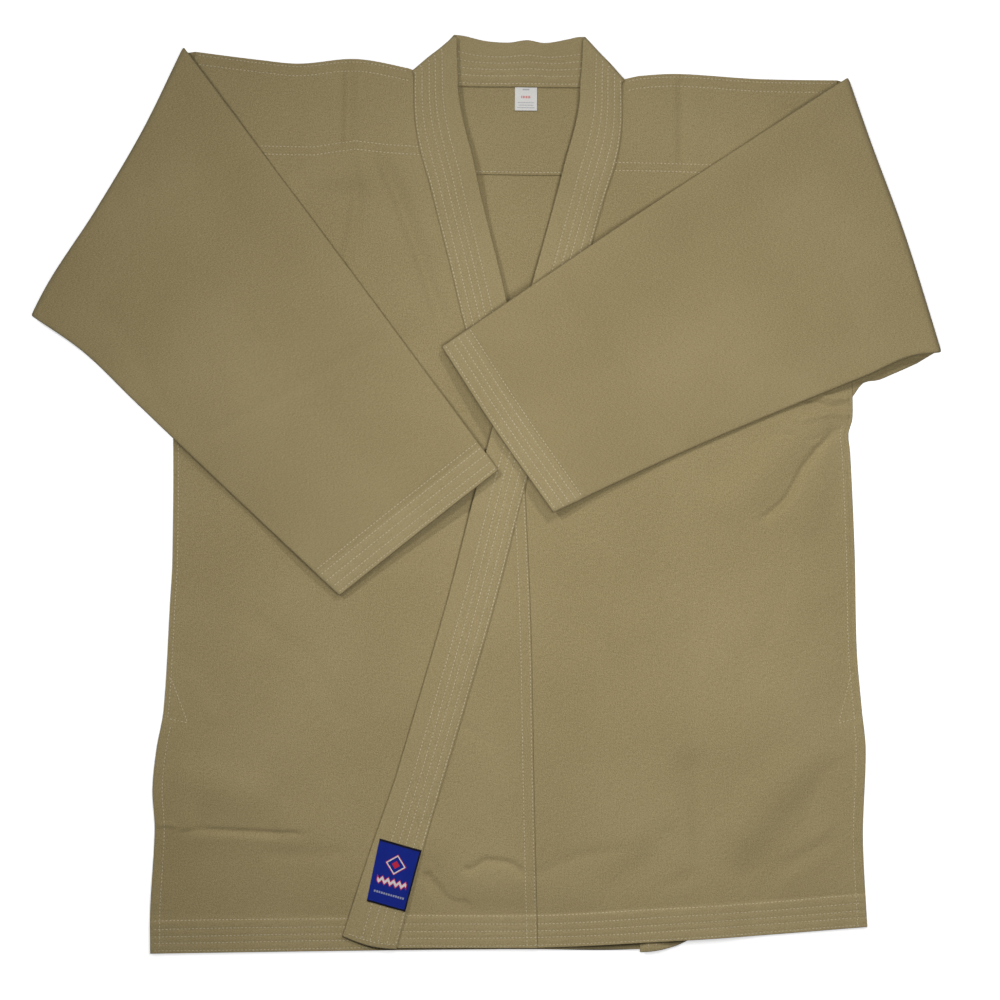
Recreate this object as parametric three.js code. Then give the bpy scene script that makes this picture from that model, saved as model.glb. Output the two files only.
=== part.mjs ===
// The jacket of a karate uniform, laid flat on its back with both sleeves folded across the front.
// Units are millimetres. +X is to the right and +Y towards the collar for someone looking down on it,
// and +Z is up from the surface it lies on. "Left" and "right" in names are the wearer's.
// Lengths in the tables are measured from the middle of the hem, and the last lines move the whole
// garment so that its origin is under the middle of its outline.
import * as THREE from "three";

// Driving dimensions
const CLOTH = 1.2; // one layer of heavy canvas
const GAP = 0.3; // between two pieces at a seam, and between cloths that lie on each other
const HEM_BAND = 27; // depth of the turned-up hem
const HEM_EXTRA = 0.8; // how much thicker the hem is than one layer
const HEM_STEP = 2; // the slope from hem to single cloth
const BAND_WIDTH = 42; // collar band, from its seam to its free edge
const BAND_THICK = 2.6; // the band is several layers, stitched together
const BAND_GAP = 0.6; // between the band and the panel that it lies on
const SEAM_ALLOWANCE = 12; // how far a panel reaches under the band
const SINK_END = 30; // from here outward the band lies on the cloth below its own panel
const LEAN = 0.28; // sideways run of a lapel for each millimetre down
const ALONG = Math.hypot(1, LEAN); // level width of a leaning strip for its square width
const YOKE_EDGE = 698; // lower edge of the yoke, above the hem
const YOKE_HALF = 226; // half the yoke's width
const YOKE_INSET = 3; // it stops this far below the shoulder seam
const TAG = { x: 13.5, wide: 20, tall: 21, thick: 1 };
const LABEL = { wide: 37, tall: 57, thick: 1, up: 34.5, fromSeam: 1.5 };
const BAND_ROWS = 40;
const TURN_START = 0.86; // share of a lapel's length where it starts to lean into its turn
const TURN_STEPS = 5;
const BAND_COLUMNS = [0, 5, 12.6, 21.8, 31.9, BAND_WIDTH]; // distances from the seam

const CANVAS = new THREE.MeshStandardMaterial({ color: 0x94866a, roughness: 0.92, metalness: 0 });
const WOVEN_BLUE = new THREE.MeshStandardMaterial({ color: 0x22307e, roughness: 0.8, metalness: 0 });
const WHITE_TAPE = new THREE.MeshStandardMaterial({ color: 0xd9d9d6, roughness: 0.7, metalness: 0 });

// Outline tables. up is the height above the hem line and x the place across the garment.
const SIDE_RIGHT = [
  { up: -3.6, x: -325 },
  { up: 36, x: -325 },
  { up: 108, x: -321 },
  { up: 144, x: -323 },
  { up: 180, x: -319.5 },
  { up: 216, x: -313 },
  { up: 315, x: -307 },
  { up: 351, x: -305 },
  { up: 470, x: -304.5 },
  { up: 500, x: -308 },
];
const SIDE_LEFT = [
  { up: 19, x: 321 },
  { up: 72, x: 318 },
  { up: 108, x: 317 },
  { up: 180, x: 319.5 },
  { up: 216, x: 316 },
  { up: 270, x: 311.5 },
  { up: 360, x: 309.5 },
  { up: 447, x: 305.6 },
  { up: 464, x: 304 },
  { up: 478, x: 307.5 },
  { up: 498, x: 307.8 },
];
const SHOULDER_END_RIGHT = { x: -282, up: 808 };
const SHOULDER_END_LEFT = { x: 294, up: 783 };
const SHOULDER_RIGHT = [
  { x: -282, up: 808 },
  { x: -224, up: 801 },
  { x: -190, up: 798 },
  { x: -140, up: 802 },
  { x: -92, up: 793.4 },
];
const SHOULDER_LEFT = [
  { x: 106.2, up: 783.6 },
  { x: 116, up: 786.5 },
  { x: 152, up: 788.5 },
  { x: 224, up: 784 },
  { x: 294, up: 783 },
];
const NECKLINE = [
  { x: -86.3, up: 787 },
  { x: -68, up: 782 },
  { x: -46, up: 777.8 },
  { x: 8, up: 777 },
  { x: 64, up: 776.5 },
  { x: 100, up: 778 },
];
const COLLAR_TOP = [
  { x: -47.6, up: 820.8 },
  { x: -42, up: 822.8 },
  { x: -22.5, up: 818.1 },
  { x: -2, up: 816.6 },
  { x: 14.4, up: 818.8 },
  { x: 30.6, up: 816.3 },
  { x: 51.3, up: 819.4 },
  { x: 63.6, up: 819.2 },
];
const HEM_BACK = [
  { x: -325, up: -3.6 },
  { x: -150, up: -1 },
  { x: 0, up: 0.5 },
  { x: 115, up: 0.5 },
  { x: 165, up: 10 },
  { x: 220, up: 14 },
  { x: 285, up: 19 },
  { x: 321, up: 21 },
];
const HEM_UNDER = [
  { x: -325, up: -3.6 },
  { x: -150, up: -1 },
  { x: 0, up: 0.5 },
  { x: 140, up: 0.5 },
];
const HEM_UPPER = [
  { x: -110, up: 1.5 },
  { x: 24, up: 1.8 },
  { x: 121, up: 6.6 },
  { x: 220, up: 12.6 },
  { x: 321, up: 20.5 },
];
// The lapels' seam edges; each free edge lies one band width further in towards the opening.
const LAPEL_RIGHT = [
  { up: 3.6, x: 116 },
  { up: 300, x: 31 },
  { up: 558, x: -40.7 },
  { up: 621, x: -56 },
  { up: 688, x: -72.5 },
  { up: 775, x: -88.8 },
  { up: 787.5, x: -87.2 },
];
const LAPEL_LEFT = [
  { up: 1.5, x: -103 },
  { up: 106, x: -75 },
  { up: 214, x: -43 },
  { up: 318, x: -13 },
  { up: 421, x: 13.5 },
  { up: 634, x: 72 },
  { up: 713, x: 93 },
  { up: 764, x: 102.4 },
  { up: 778.4, x: 100.9 },
];
// The seam between each front and the wedge sewn to it
const WEDGE_SEAM_LEFT = [
  { up: 1.8, x: 24.3 },
  { up: 139, x: 21 },
  { up: 300, x: 17.8 },
  { up: 455, x: 11 },
];
const WEDGE_SEAM_RIGHT = [
  { up: 0.5, x: -12 },
  { up: 300, x: -9 },
  { up: 455, x: 1 },
];
const WEDGE_TOP = 455; // above it the front reaches the lapel
const WEDGE_TIP = 425; // where the wedge ends, just before it runs out

// Soft folds in the fronts: a line from (x1, up1) to (x2, up2), its lift (less than 0 is a trough)
// and its half width.
const FOLDS = [
  { x1: -312, up1: 112, x2: -186, up2: 104, lift: -3, half: 26 },
  { x1: -290, up1: 146, x2: -236, up2: 134, lift: 3, half: 30 },
  { x1: -143, up1: 795, x2: -136, up2: 640, lift: -2.4, half: 30 },
  { x1: -112, up1: 690, x2: -60, up2: 560, lift: -2.6, half: 26 },
  { x1: -128, up1: 700, x2: -92, up2: 575, lift: 2, half: 28 },
  { x1: 296, up1: 468, x2: 218, up2: 384, lift: -3, half: 26 },
  { x1: 270, up1: 470, x2: 196, up2: 404, lift: 3, half: 28 },
  { x1: 164, up1: 160, x2: 190, up2: 40, lift: -2.6, half: 28 },
  { x1: 139, up1: 98, x2: 104, up2: 56, lift: -2, half: 26 },
  { x1: 290, up1: 150, x2: 218, up2: 66, lift: -2.6, half: 30 },
  { x1: 250, up1: 160, x2: 205, up2: 110, lift: 2, half: 30 },
];
const PUFF = 3; // air under the middle of each front
const PUFF_EDGE = 70; // how far from an edge the cloth has risen that much
const PUFF_TOP = 770; // no air above this height
const SIDE_FLAT = 30; // folds fade out this near to a side seam

// How the fronts rise over what is under them: they stay up for CLEAR past its edge, then slope down
const CLEAR = 4;
const CLEAR_WIDE = 20;
const SLOPE = 40;
const WIDE_SLOPE = 60;
const NECK = { lift: 4.2, from: 640, to: 745, x: 6, half: 100, ramp: 80 }; // over the band behind
const CROSSING = { from: 585, to: 665 }; // the upper front has left the lower one above here
const COVERED = { from: 540, to: 640, before: 30, ramp: 80 }; // where the lower front is pressed flat

// A sleeve's outline once folded over: the fold, the two long edges and the cuff. The fold and the cuff
// run from the upper edge to the lower edge, and the edges from the fold to the cuff.
const SLEEVE_RIGHT = {
  armhole: [SHOULDER_END_RIGHT, SIDE_RIGHT.at(-1)],
  fold: [
    { x: -291.5, up: 811 },
    { x: -332, up: 738 },
    { x: -374.4, up: 666 },
    { x: -420.5, up: 594.5 },
    { x: -432.5, up: 571.5 },
  ],
  upper: [
    { x: -291.5, up: 811 },
    { x: -179, up: 658 },
    { x: -11.7, up: 432.5 },
  ],
  lower: [
    { x: -432.5, up: 571.5 },
    { x: -387, up: 540 },
    { x: -340, up: 495 },
    { x: -269, up: 427 },
    { x: -154.8, up: 319.5 },
  ],
  cuff: [
    { x: -11.7, up: 432.5 },
    { x: -87, up: 366 },
    { x: -154.8, up: 319.5 },
  ],
  stubLower: [SIDE_RIGHT.at(-1), { x: -421, up: 570 }],
};
const SLEEVE_LEFT = {
  armhole: [SHOULDER_END_LEFT, SIDE_LEFT.at(-1)],
  fold: [
    { x: 304, up: 785.7 },
    { x: 324.5, up: 726.7 },
    { x: 350.5, up: 656.5 },
    { x: 388.2, up: 538 },
  ],
  upper: [
    { x: 304, up: 785.7 },
    { x: 151, up: 686.5 },
    { x: -61.7, up: 543 },
  ],
  lower: [
    { x: 388.2, up: 538 },
    { x: 363, up: 535 },
    { x: 321.5, up: 517.5 },
    { x: 252.7, up: 489.6 },
    { x: 151, up: 446.4 },
    { x: 38.7, up: 394 },
  ],
  cuff: [
    { x: -61.7, up: 543 },
    { x: -16, up: 472 },
    { x: 38.7, up: 394 },
  ],
  stubLower: [
    SIDE_LEFT.at(-1),
    { x: 318.5, up: 511 },
    { x: 330.5, up: 512.8 },
    { x: 342, up: 517.5 },
    { x: 380, up: 534.5 },
  ],
};
const SLEEVE_HALF = 2.2; // half the thickness of a sleeve's two layers and the air in it
const STUB_HALF = CLOTH + GAP / 2; // the same, next to the armhole, where the layers are pressed flat
const CUFF_HEM = 29;
const STUB_STATIONS = [0, 0.16, 0.32, 0.64]; // shares of the way from the armhole to the fold
const STUB_REACH = 0.94; // share of the stub's lower edge that lies outside the fold's curve
const FOLD_STEPS = 8;
const LAID_STATIONS = [0.06, 0.13, 0.22, 0.32, 0.43, 0.54, 0.65, 0.76, 0.86]; // from fold to cuff
// A sleeve's section: v runs from the upper edge to the lower, and full is the share of the thickness
// that is reached there.
const SLEEVE_RING = [
  { v: 0, full: 0 },
  { v: 0.004, full: 0.7 },
  { v: 0.02, full: 0.94 },
  { v: 0.12, full: 1 },
  { v: 0.26, full: 1 },
  { v: 0.42, full: 1 },
  { v: 0.58, full: 1 },
  { v: 0.74, full: 1 },
  { v: 0.88, full: 1 },
  { v: 0.98, full: 0.94 },
  { v: 0.996, full: 0.7 },
  { v: 1, full: 0 },
];
const FOLD_LIFT = 8.8; // the sleeve's underside just inside its fold
const LAPEL_RISE = 5.6; // how much higher it passes over the upper lapel
const LAPEL_RAMP = 95; // how long the slope is on each side of that lapel

// Small helpers
const mix = (a, b, t) => a + (b - a) * t;
const clamp01 = (t) => Math.min(1, Math.max(0, t));
const ease = (from, to, value) => {
  const t = clamp01((value - from) / (to - from));
  return t * t * (3 - 2 * t);
};
const steps = (count) => Array.from({ length: count + 1 }, (_, i) => i / count);

// A function that reads one column of a table at any value of another column, on a smooth curve.
function reader(table, key, column) {
  const keys = table.map((row) => row[key]);
  const values = table.map((row) => row[column]);
  const slope = (i) => {
    const a = Math.max(i - 1, 0);
    const b = Math.min(i + 1, keys.length - 1);
    return (values[b] - values[a]) / (keys[b] - keys[a]);
  };
  return (at) => {
    let i = 0;
    while (i < keys.length - 2 && at > keys[i + 1]) i++;
    const span = keys[i + 1] - keys[i];
    const t = clamp01((at - keys[i]) / span);
    const t2 = t * t;
    const t3 = t2 * t;
    return (
      (2 * t3 - 3 * t2 + 1) * values[i] +
      (t3 - 2 * t2 + t) * span * slope(i) +
      (3 * t2 - 2 * t3) * values[i + 1] +
      (t3 - t2) * span * slope(i + 1)
    );
  };
}

// A curve through a table of points, read by its share of the whole length.
function route(table) {
  const points = table.map((row) => new THREE.Vector3(row.x, row.up, 0));
  const curve = new THREE.CatmullRomCurve3(points, false, "chordal");
  return (share) => {
    const p = curve.getPointAt(clamp01(share));
    return { x: p.x, up: p.y };
  };
}

const along = (a, b, t) => ({ x: mix(a.x, b.x, t), up: mix(a.up, b.up, t) });

// A Coons patch: the flat shape spanned by four edges. start and end run with v, low and high with u.
function patch(start, end, low, high) {
  return (u, v) => {
    const s = start(v);
    const e = end(v);
    const l = low(u);
    const h = high(u);
    const corner = along(along(start(0), start(1), v), along(end(0), end(1), v), u);
    return {
      x: mix(s.x, e.x, u) + mix(l.x, h.x, v) - corner.x,
      up: mix(s.up, e.up, u) + mix(l.up, h.up, v) - corner.up,
    };
  };
}

// A closed solid between two grids of points. wrap joins the last column to the first, as in a tube.
function solidBetween(outer, inner, wrap = false) {
  const rows = outer.length;
  const columns = outer[0].length;
  const positions = [...outer.flat(), ...inner.flat()].flatMap((p) => [p.x, p.y, p.z]);
  const index = [];
  const vertex = (side, i, j) => (side * rows + i) * columns + (j % columns);
  const quad = (a, b, c, d) => index.push(a, b, c, a, c, d);
  const spans = wrap ? columns : columns - 1;
  for (let i = 0; i < rows - 1; i++) {
    for (let j = 0; j < spans; j++) {
      quad(vertex(0, i, j), vertex(0, i, j + 1), vertex(0, i + 1, j + 1), vertex(0, i + 1, j));
      quad(vertex(1, i, j), vertex(1, i + 1, j), vertex(1, i + 1, j + 1), vertex(1, i, j + 1));
    }
  }
  for (let j = 0; j < spans; j++) {
    quad(vertex(0, 0, j), vertex(1, 0, j), vertex(1, 0, j + 1), vertex(0, 0, j + 1));
    const last = rows - 1;
    quad(vertex(0, last, j), vertex(0, last, j + 1), vertex(1, last, j + 1), vertex(1, last, j));
  }
  if (!wrap) {
    const last = columns - 1;
    for (let i = 0; i < rows - 1; i++) {
      quad(vertex(0, i, 0), vertex(0, i + 1, 0), vertex(1, i + 1, 0), vertex(1, i, 0));
      quad(vertex(0, i, last), vertex(1, i, last), vertex(1, i + 1, last), vertex(0, i + 1, last));
    }
  }
  const geometry = new THREE.BufferGeometry();
  geometry.setAttribute("position", new THREE.Float32BufferAttribute(positions, 3));
  geometry.setIndex(facingOut(positions, index));
  geometry.computeVertexNormals();
  return geometry;
}

// Turns every face round when the grids were given the other way, so that the faces point out.
function facingOut(positions, index) {
  const corner = (i) => new THREE.Vector3().fromArray(positions, 3 * i);
  let volume = 0;
  for (let i = 0; i < index.length; i += 3) {
    const [a, b, c] = [corner(index[i]), corner(index[i + 1]), corner(index[i + 2])];
    volume += a.dot(b.cross(c));
  }
  return volume >= 0 ? index : index.reverse();
}

const jacket = new THREE.Group();
function addPiece(name, geometry, material) {
  const mesh = new THREE.Mesh(geometry, material);
  mesh.name = name;
  jacket.add(mesh);
  return mesh;
}

// A piece that lies flat or nearly so: a plan, a list of shares each way, and its two heights.
function addSheet(name, { plan, us, vs, under, over, material = CANVAS }) {
  const grid = (height) =>
    vs.map((v) =>
      us.map((u) => {
        const p = plan(u, v);
        return new THREE.Vector3(p.x, p.up, height(p.x, p.up));
      }),
    );
  return addPiece(name, solidBetween(grid(over), grid(under)), material);
}

// Places shares v so that the hem has its own rows, and the rest is even, with one row at a given height.
function rowShares(low, high, corner, count) {
  const heights = [low, low + HEM_BAND - HEM_STEP, low + HEM_BAND];
  const start = low + HEM_BAND;
  const below = Math.round((count * (corner - start)) / (high - start));
  for (let i = 1; i <= below; i++) heights.push(mix(start, corner, i / below));
  for (let i = 1; i <= count - below; i++) heights.push(mix(corner, high, i / (count - below)));
  return heights.map((up) => (up - low) / (high - low));
}

// Edges as functions
const shoulderRight = reader(SHOULDER_RIGHT, "x", "up");
const shoulderLeft = reader(SHOULDER_LEFT, "x", "up");
const neckline = reader(NECKLINE, "x", "up");
const collarTop = reader(COLLAR_TOP, "x", "up");
const hemBack = reader(HEM_BACK, "x", "up");
const hemUnder = reader(HEM_UNDER, "x", "up");
const hemUpper = reader(HEM_UPPER, "x", "up");
const sideRight = reader(SIDE_RIGHT, "up", "x");
const sideLeft = reader(SIDE_LEFT, "up", "x");
const lapelRight = reader(LAPEL_RIGHT, "up", "x");
const lapelLeft = reader(LAPEL_LEFT, "up", "x");
const wedgeLeft = reader(WEDGE_SEAM_LEFT, "up", "x");
const wedgeRight = reader(WEDGE_SEAM_RIGHT, "up", "x");
const UNDERARM_RIGHT = SIDE_RIGHT.at(-1);
const UNDERARM_LEFT = SIDE_LEFT.at(-1);

// The side of the body at a height: the side seam, and above the underarm the straight armhole.
function bodySide(side, underarm, shoulder) {
  return (up) => {
    if (up <= underarm.up) return side(up);
    return mix(underarm.x, shoulder.x, (up - underarm.up) / (shoulder.up - underarm.up));
  };
}
const bodyRight = bodySide(sideRight, UNDERARM_RIGHT, SHOULDER_END_RIGHT);
const bodyLeft = bodySide(sideLeft, UNDERARM_LEFT, SHOULDER_END_LEFT);

// How thick a body panel is at a height over its own hem
const bodyCloth = (overHem) => CLOTH + HEM_EXTRA * (1 - ease(HEM_BAND - HEM_STEP, HEM_BAND, overHem));

// What a turned hem below adds to the height, fading out above it
const hemTop = HEM_BAND + CLEAR_WIDE;
const hemRise = (up) => HEM_EXTRA * (1 - ease(hemTop, hemTop + SLOPE, up));

// The height that the fronts lie on: the back, and near the shoulders the yoke too
function onTheBack(x, up) {
  const besideYoke = ease(YOKE_HALF + CLEAR, YOKE_HALF + CLEAR + SLOPE, Math.abs(x));
  const overYoke = ease(YOKE_EDGE - CLEAR - SLOPE, YOKE_EDGE - CLEAR, up) * (1 - besideYoke);
  return (CLOTH + GAP) * (1 + overYoke) + hemRise(up);
}

// Folds and trapped air of the fronts, in all never below 0
function relief(x, up) {
  let lift = 0;
  for (const fold of FOLDS) {
    const dx = fold.x2 - fold.x1;
    const dy = fold.up2 - fold.up1;
    const length = Math.hypot(dx, dy);
    const t = ((x - fold.x1) * dx + (up - fold.up1) * dy) / length ** 2;
    const across = Math.abs((x - fold.x1) * dy - (up - fold.up1) * dx) / length;
    const past = Math.max(0, -t, t - 1) * length;
    lift += fold.lift * (1 - ease(0, fold.half, Math.hypot(across, past)));
  }
  const fromSide = Math.min(x - bodyRight(up), bodyLeft(up) - x);
  const fromHem = up - HEM_BAND;
  const fromTop = PUFF_TOP - up;
  const puff = [fromSide, fromHem, fromTop].reduce((share, d) => share * ease(0, PUFF_EDGE, d), PUFF);
  return Math.max(0, lift * ease(0, SIDE_FLAT, fromSide) + puff);
}

// The neck lifts the fronts over the collar band, which passes behind them there.
function neckLift(x, up) {
  const beside = ease(NECK.half, NECK.half + NECK.ramp, Math.abs(x - NECK.x));
  return NECK.lift * ease(NECK.from, NECK.to, up) * (1 - beside);
}

// The lower front lies flat where the upper front hides it.
function lowerFront(x, up) {
  const edge = lapelLeft(up) - BAND_WIDTH - COVERED.before;
  const hidden = ease(edge, edge + COVERED.ramp, x) * (1 - ease(COVERED.from, COVERED.to, up));
  return onTheBack(x, up) + relief(x, up) * (1 - hidden) + neckLift(x, up);
}

// The upper front also rides over the lower front and over its lapel, with long soft ramps.
function upperFront(x, up) {
  const seam = lapelRight(up);
  const free = seam + BAND_WIDTH * ALONG;
  const crossed = 1 - ease(CROSSING.from, CROSSING.to, up);
  const notPast = 1 - ease(free + CLEAR_WIDE, free + CLEAR_WIDE + WIDE_SLOPE, x);
  const band = (BAND_THICK + BAND_GAP) * ease(seam - CLEAR_WIDE - WIDE_SLOPE, seam - CLEAR_WIDE, x);
  const ride = (CLOTH + 2 * GAP + hemRise(up) + band) * notPast * crossed;
  return onTheBack(x, up) + relief(x, up) + neckLift(x, up) + ride;
}

// Back panel and the yoke on its inside
{
  const across = { from: SIDE_RIGHT[0].x, to: SIDE_LEFT[0].x };
  const [neckFrom, neckTo] = [NECKLINE[0].x, NECKLINE.at(-1).x];
  const top = (x) => {
    if (x < neckFrom) return shoulderRight(x);
    if (x > neckTo) return shoulderLeft(x);
    const inward = Math.min(x - neckFrom, neckTo - x);
    return neckline(x) + SEAM_ALLOWANCE * ease(0, 2 * SEAM_ALLOWANCE, inward);
  };
  const edge = (side, low, high) => (v) => {
    const up = mix(low, high, v);
    return { x: side(up), up };
  };
  const low = (u) => {
    const x = mix(across.from, across.to, u);
    return { x, up: hemBack(x) };
  };
  const high = (u) => {
    const x = mix(SHOULDER_END_RIGHT.x, SHOULDER_END_LEFT.x, u);
    return { x, up: top(x) };
  };
  const plan = patch(
    edge(bodyRight, SIDE_RIGHT[0].up, SHOULDER_END_RIGHT.up),
    edge(bodyLeft, SIDE_LEFT[0].up, SHOULDER_END_LEFT.up),
    low,
    high,
  );
  const vs = rowShares(SIDE_RIGHT[0].up, SHOULDER_END_RIGHT.up, UNDERARM_RIGHT.up, 12);
  addSheet("back", {
    plan,
    us: steps(18),
    vs,
    under: () => 0,
    over: (x, up) => bodyCloth(up - hemBack(x)),
  });

  const yokeTop = (x) => top(x) - YOKE_INSET;
  addSheet("back_yoke", {
    plan: (u, v) => {
      const x = mix(-YOKE_HALF, YOKE_HALF, u);
      return { x, up: mix(YOKE_EDGE, yokeTop(x), v) };
    },
    us: steps(18),
    vs: steps(1),
    under: () => CLOTH + GAP,
    over: () => 2 * CLOTH + GAP,
  });
}

// A front panel and its wedge. inward is 1 where the opening lies at larger x, and -1 where at smaller.
function addFront(cut) {
  const { inward, side, body, underarm, shoulderEnd, shoulder, innerTop, lapel, wedge, hem, height } = cut;
  const rawEdge = (up) => lapel(up) + inward * SEAM_ALLOWANCE * ALONG;
  const frontEdge = (up) => (up < WEDGE_TOP ? wedge(up) : rawEdge(up));
  const lowSide = { x: body(hem(side)), up: hem(side) };
  const lowFront = { x: wedge(0), up: hem(wedge(0)) };
  const start = (v) => {
    const up = mix(lowSide.up, shoulderEnd.up, v);
    return { x: body(up), up };
  };
  const end = (v) => {
    const up = mix(lowFront.up, innerTop.up, v);
    return { x: v === 1 ? innerTop.x : frontEdge(up), up };
  };
  const low = (u) => {
    const x = mix(lowSide.x, lowFront.x, u);
    return { x, up: hem(x) };
  };
  const high = (u) => {
    const x = mix(shoulderEnd.x, innerTop.x, u);
    return { x, up: shoulder(x) };
  };
  const thick = (x, up) => bodyCloth(up - hem(x));
  const name = inward > 0 ? "right" : "left";
  const lowEnd = hem(lapel(0));
  addSheet(`front_${name}`, {
    plan: patch(start, end, low, high),
    us: steps(15),
    vs: rowShares(lowSide.up, shoulderEnd.up, underarm.up, 30),
    under: height,
    over: (x, up) => height(x, up) + thick(x, up),
  });
  addSheet(`overlap_${name}`, {
    plan: (u, v) => {
      const up = mix(lowEnd, WEDGE_TIP, v);
      return { x: mix(wedge(up) + inward * GAP, rawEdge(up), u), up };
    },
    us: steps(5),
    vs: rowShares(lowEnd, WEDGE_TIP, WEDGE_TIP / 2, 16),
    under: height,
    over: (x, up) => height(x, up) + thick(x, up),
  });
}
addFront({
  inward: 1,
  side: SIDE_RIGHT[0].x,
  body: bodyRight,
  underarm: UNDERARM_RIGHT,
  shoulderEnd: SHOULDER_END_RIGHT,
  shoulder: shoulderRight,
  innerTop: SHOULDER_RIGHT.at(-1),
  lapel: lapelRight,
  wedge: wedgeRight,
  hem: hemUnder,
  height: lowerFront,
});
addFront({
  inward: -1,
  side: SIDE_LEFT[0].x,
  body: bodyLeft,
  underarm: UNDERARM_LEFT,
  shoulderEnd: SHOULDER_END_LEFT,
  shoulder: shoulderLeft,
  innerTop: SHOULDER_LEFT[0],
  lapel: lapelLeft,
  wedge: wedgeLeft,
  hem: hemUpper,
  height: upperFront,
});

// A lapel: a thick strip on the panel's edge, which sinks to the cloth below past the panel's raw edge,
// and at the neck turns over and under, to meet the band behind the neck.
function lapelBase(height) {
  return (x, up, w) => {
    const onPanel = CLOTH + BAND_GAP + hemRise(up);
    return height(x, up) + mix(onPanel, GAP, ease(SEAM_ALLOWANCE + 2, SINK_END, w));
  };
}
function addLapel({ name, inward, table, lapel, height, low, foldFree }) {
  const base = lapelBase(height);
  const foldSeam = table.at(-1);
  const rows = [];
  for (const t of steps(BAND_ROWS)) {
    rows.push(
      BAND_COLUMNS.map((w) => {
        const share = w / BAND_WIDTH;
        const lowUp = mix(low.seam, low.free, share);
        const highUp = mix(foldSeam.up, foldFree.up, share);
        const up = mix(lowUp, highUp, t);
        const straight = lapel(up) + inward * share * BAND_WIDTH * ALONG;
        const x = mix(straight, mix(foldSeam.x, foldFree.x, share), ease(TURN_START, 1, t));
        return { x, up, w };
      }),
    );
  }
  const under = rows.map((row) => row.map((p) => new THREE.Vector3(p.x, p.up, base(p.x, p.up, p.w))));
  const over = under.map((row) => row.map((p) => p.clone().setZ(p.z + BAND_THICK)));
  // The turn at the neck: half a circle from the lapel's height down to the band behind.
  const fold = new THREE.Vector3(foldFree.x - foldSeam.x, foldFree.up - foldSeam.up, 0).normalize();
  const outward = new THREE.Vector3(-fold.y, fold.x, 0).multiplyScalar(inward);
  const start = under.at(-1);
  for (let k = 1; k <= TURN_STEPS; k++) {
    const angle = (Math.PI * k) / TURN_STEPS;
    under.push(start.map((p) => turned(p, angle, outward, 0)));
    over.push(start.map((p) => turned(p, angle, outward, BAND_THICK)));
  }
  return addPiece(name, solidBetween(over, under), CANVAS);
}
const COLLAR_LOW = 2 * CLOTH + 2 * GAP + 0.1; // the underside of the band behind the neck, at its seam
const COLLAR_RISE = { lift: 3, half: 10, from: 782, to: 815 }; // how its free edge arches up
// One point of a turn, which runs from the lapel's underside, start, to the top of the band behind it
function turned(start, angle, outward, thickness) {
  const behindTop = COLLAR_LOW + BAND_THICK;
  const radius = (start.z - behindTop) / 2;
  const reach = radius + thickness;
  const height = behindTop + radius + Math.cos(angle) * reach;
  return start.clone().addScaledVector(outward, Math.sin(angle) * reach).setZ(height);
}
addLapel({
  name: "lapel_right",
  inward: 1,
  table: LAPEL_RIGHT,
  lapel: lapelRight,
  height: lowerFront,
  low: { seam: -2, free: 8 },
  foldFree: { x: -48.5, up: 820.5 },
});
addLapel({
  name: "lapel_left",
  inward: -1,
  table: LAPEL_LEFT,
  lapel: lapelLeft,
  height: upperFront,
  low: { seam: 1, free: 12 },
  foldFree: { x: 64.4, up: 818.9 },
});

// The band behind the neck, from one turn to the other, rising a little to its free edge
{
  const plan = (u, v) => {
    const seamX = mix(NECKLINE[0].x, NECKLINE.at(-1).x, u);
    const freeX = mix(COLLAR_TOP[0].x, COLLAR_TOP.at(-1).x, u);
    return { x: mix(seamX, freeX, v), up: mix(neckline(seamX), collarTop(freeX), v) };
  };
  const rise = (x, up) => {
    const middle = (COLLAR_TOP[0].x + COLLAR_TOP.at(-1).x) / 2;
    const toMiddle = 1 - ease(COLLAR_RISE.half, COLLAR_RISE.half + SLOPE, Math.abs(x - middle));
    return COLLAR_LOW + COLLAR_RISE.lift * toMiddle * ease(COLLAR_RISE.from, COLLAR_RISE.to, up);
  };
  addSheet("collar_back", {
    plan,
    us: steps(18),
    vs: steps(4),
    under: rise,
    over: (x, up) => rise(x, up) + BAND_THICK,
  });
}

// The height of a folded sleeve's underside, with soft ramps up to the lapel that it rests on
function sleeveLift(x, up) {
  const seam = lapelLeft(up);
  const free = seam - BAND_WIDTH * ALONG;
  const near = ease(free - LAPEL_RAMP, free, x) * (1 - ease(seam, seam + LAPEL_RAMP, x));
  return FOLD_LIFT + LAPEL_RISE * near;
}

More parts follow.
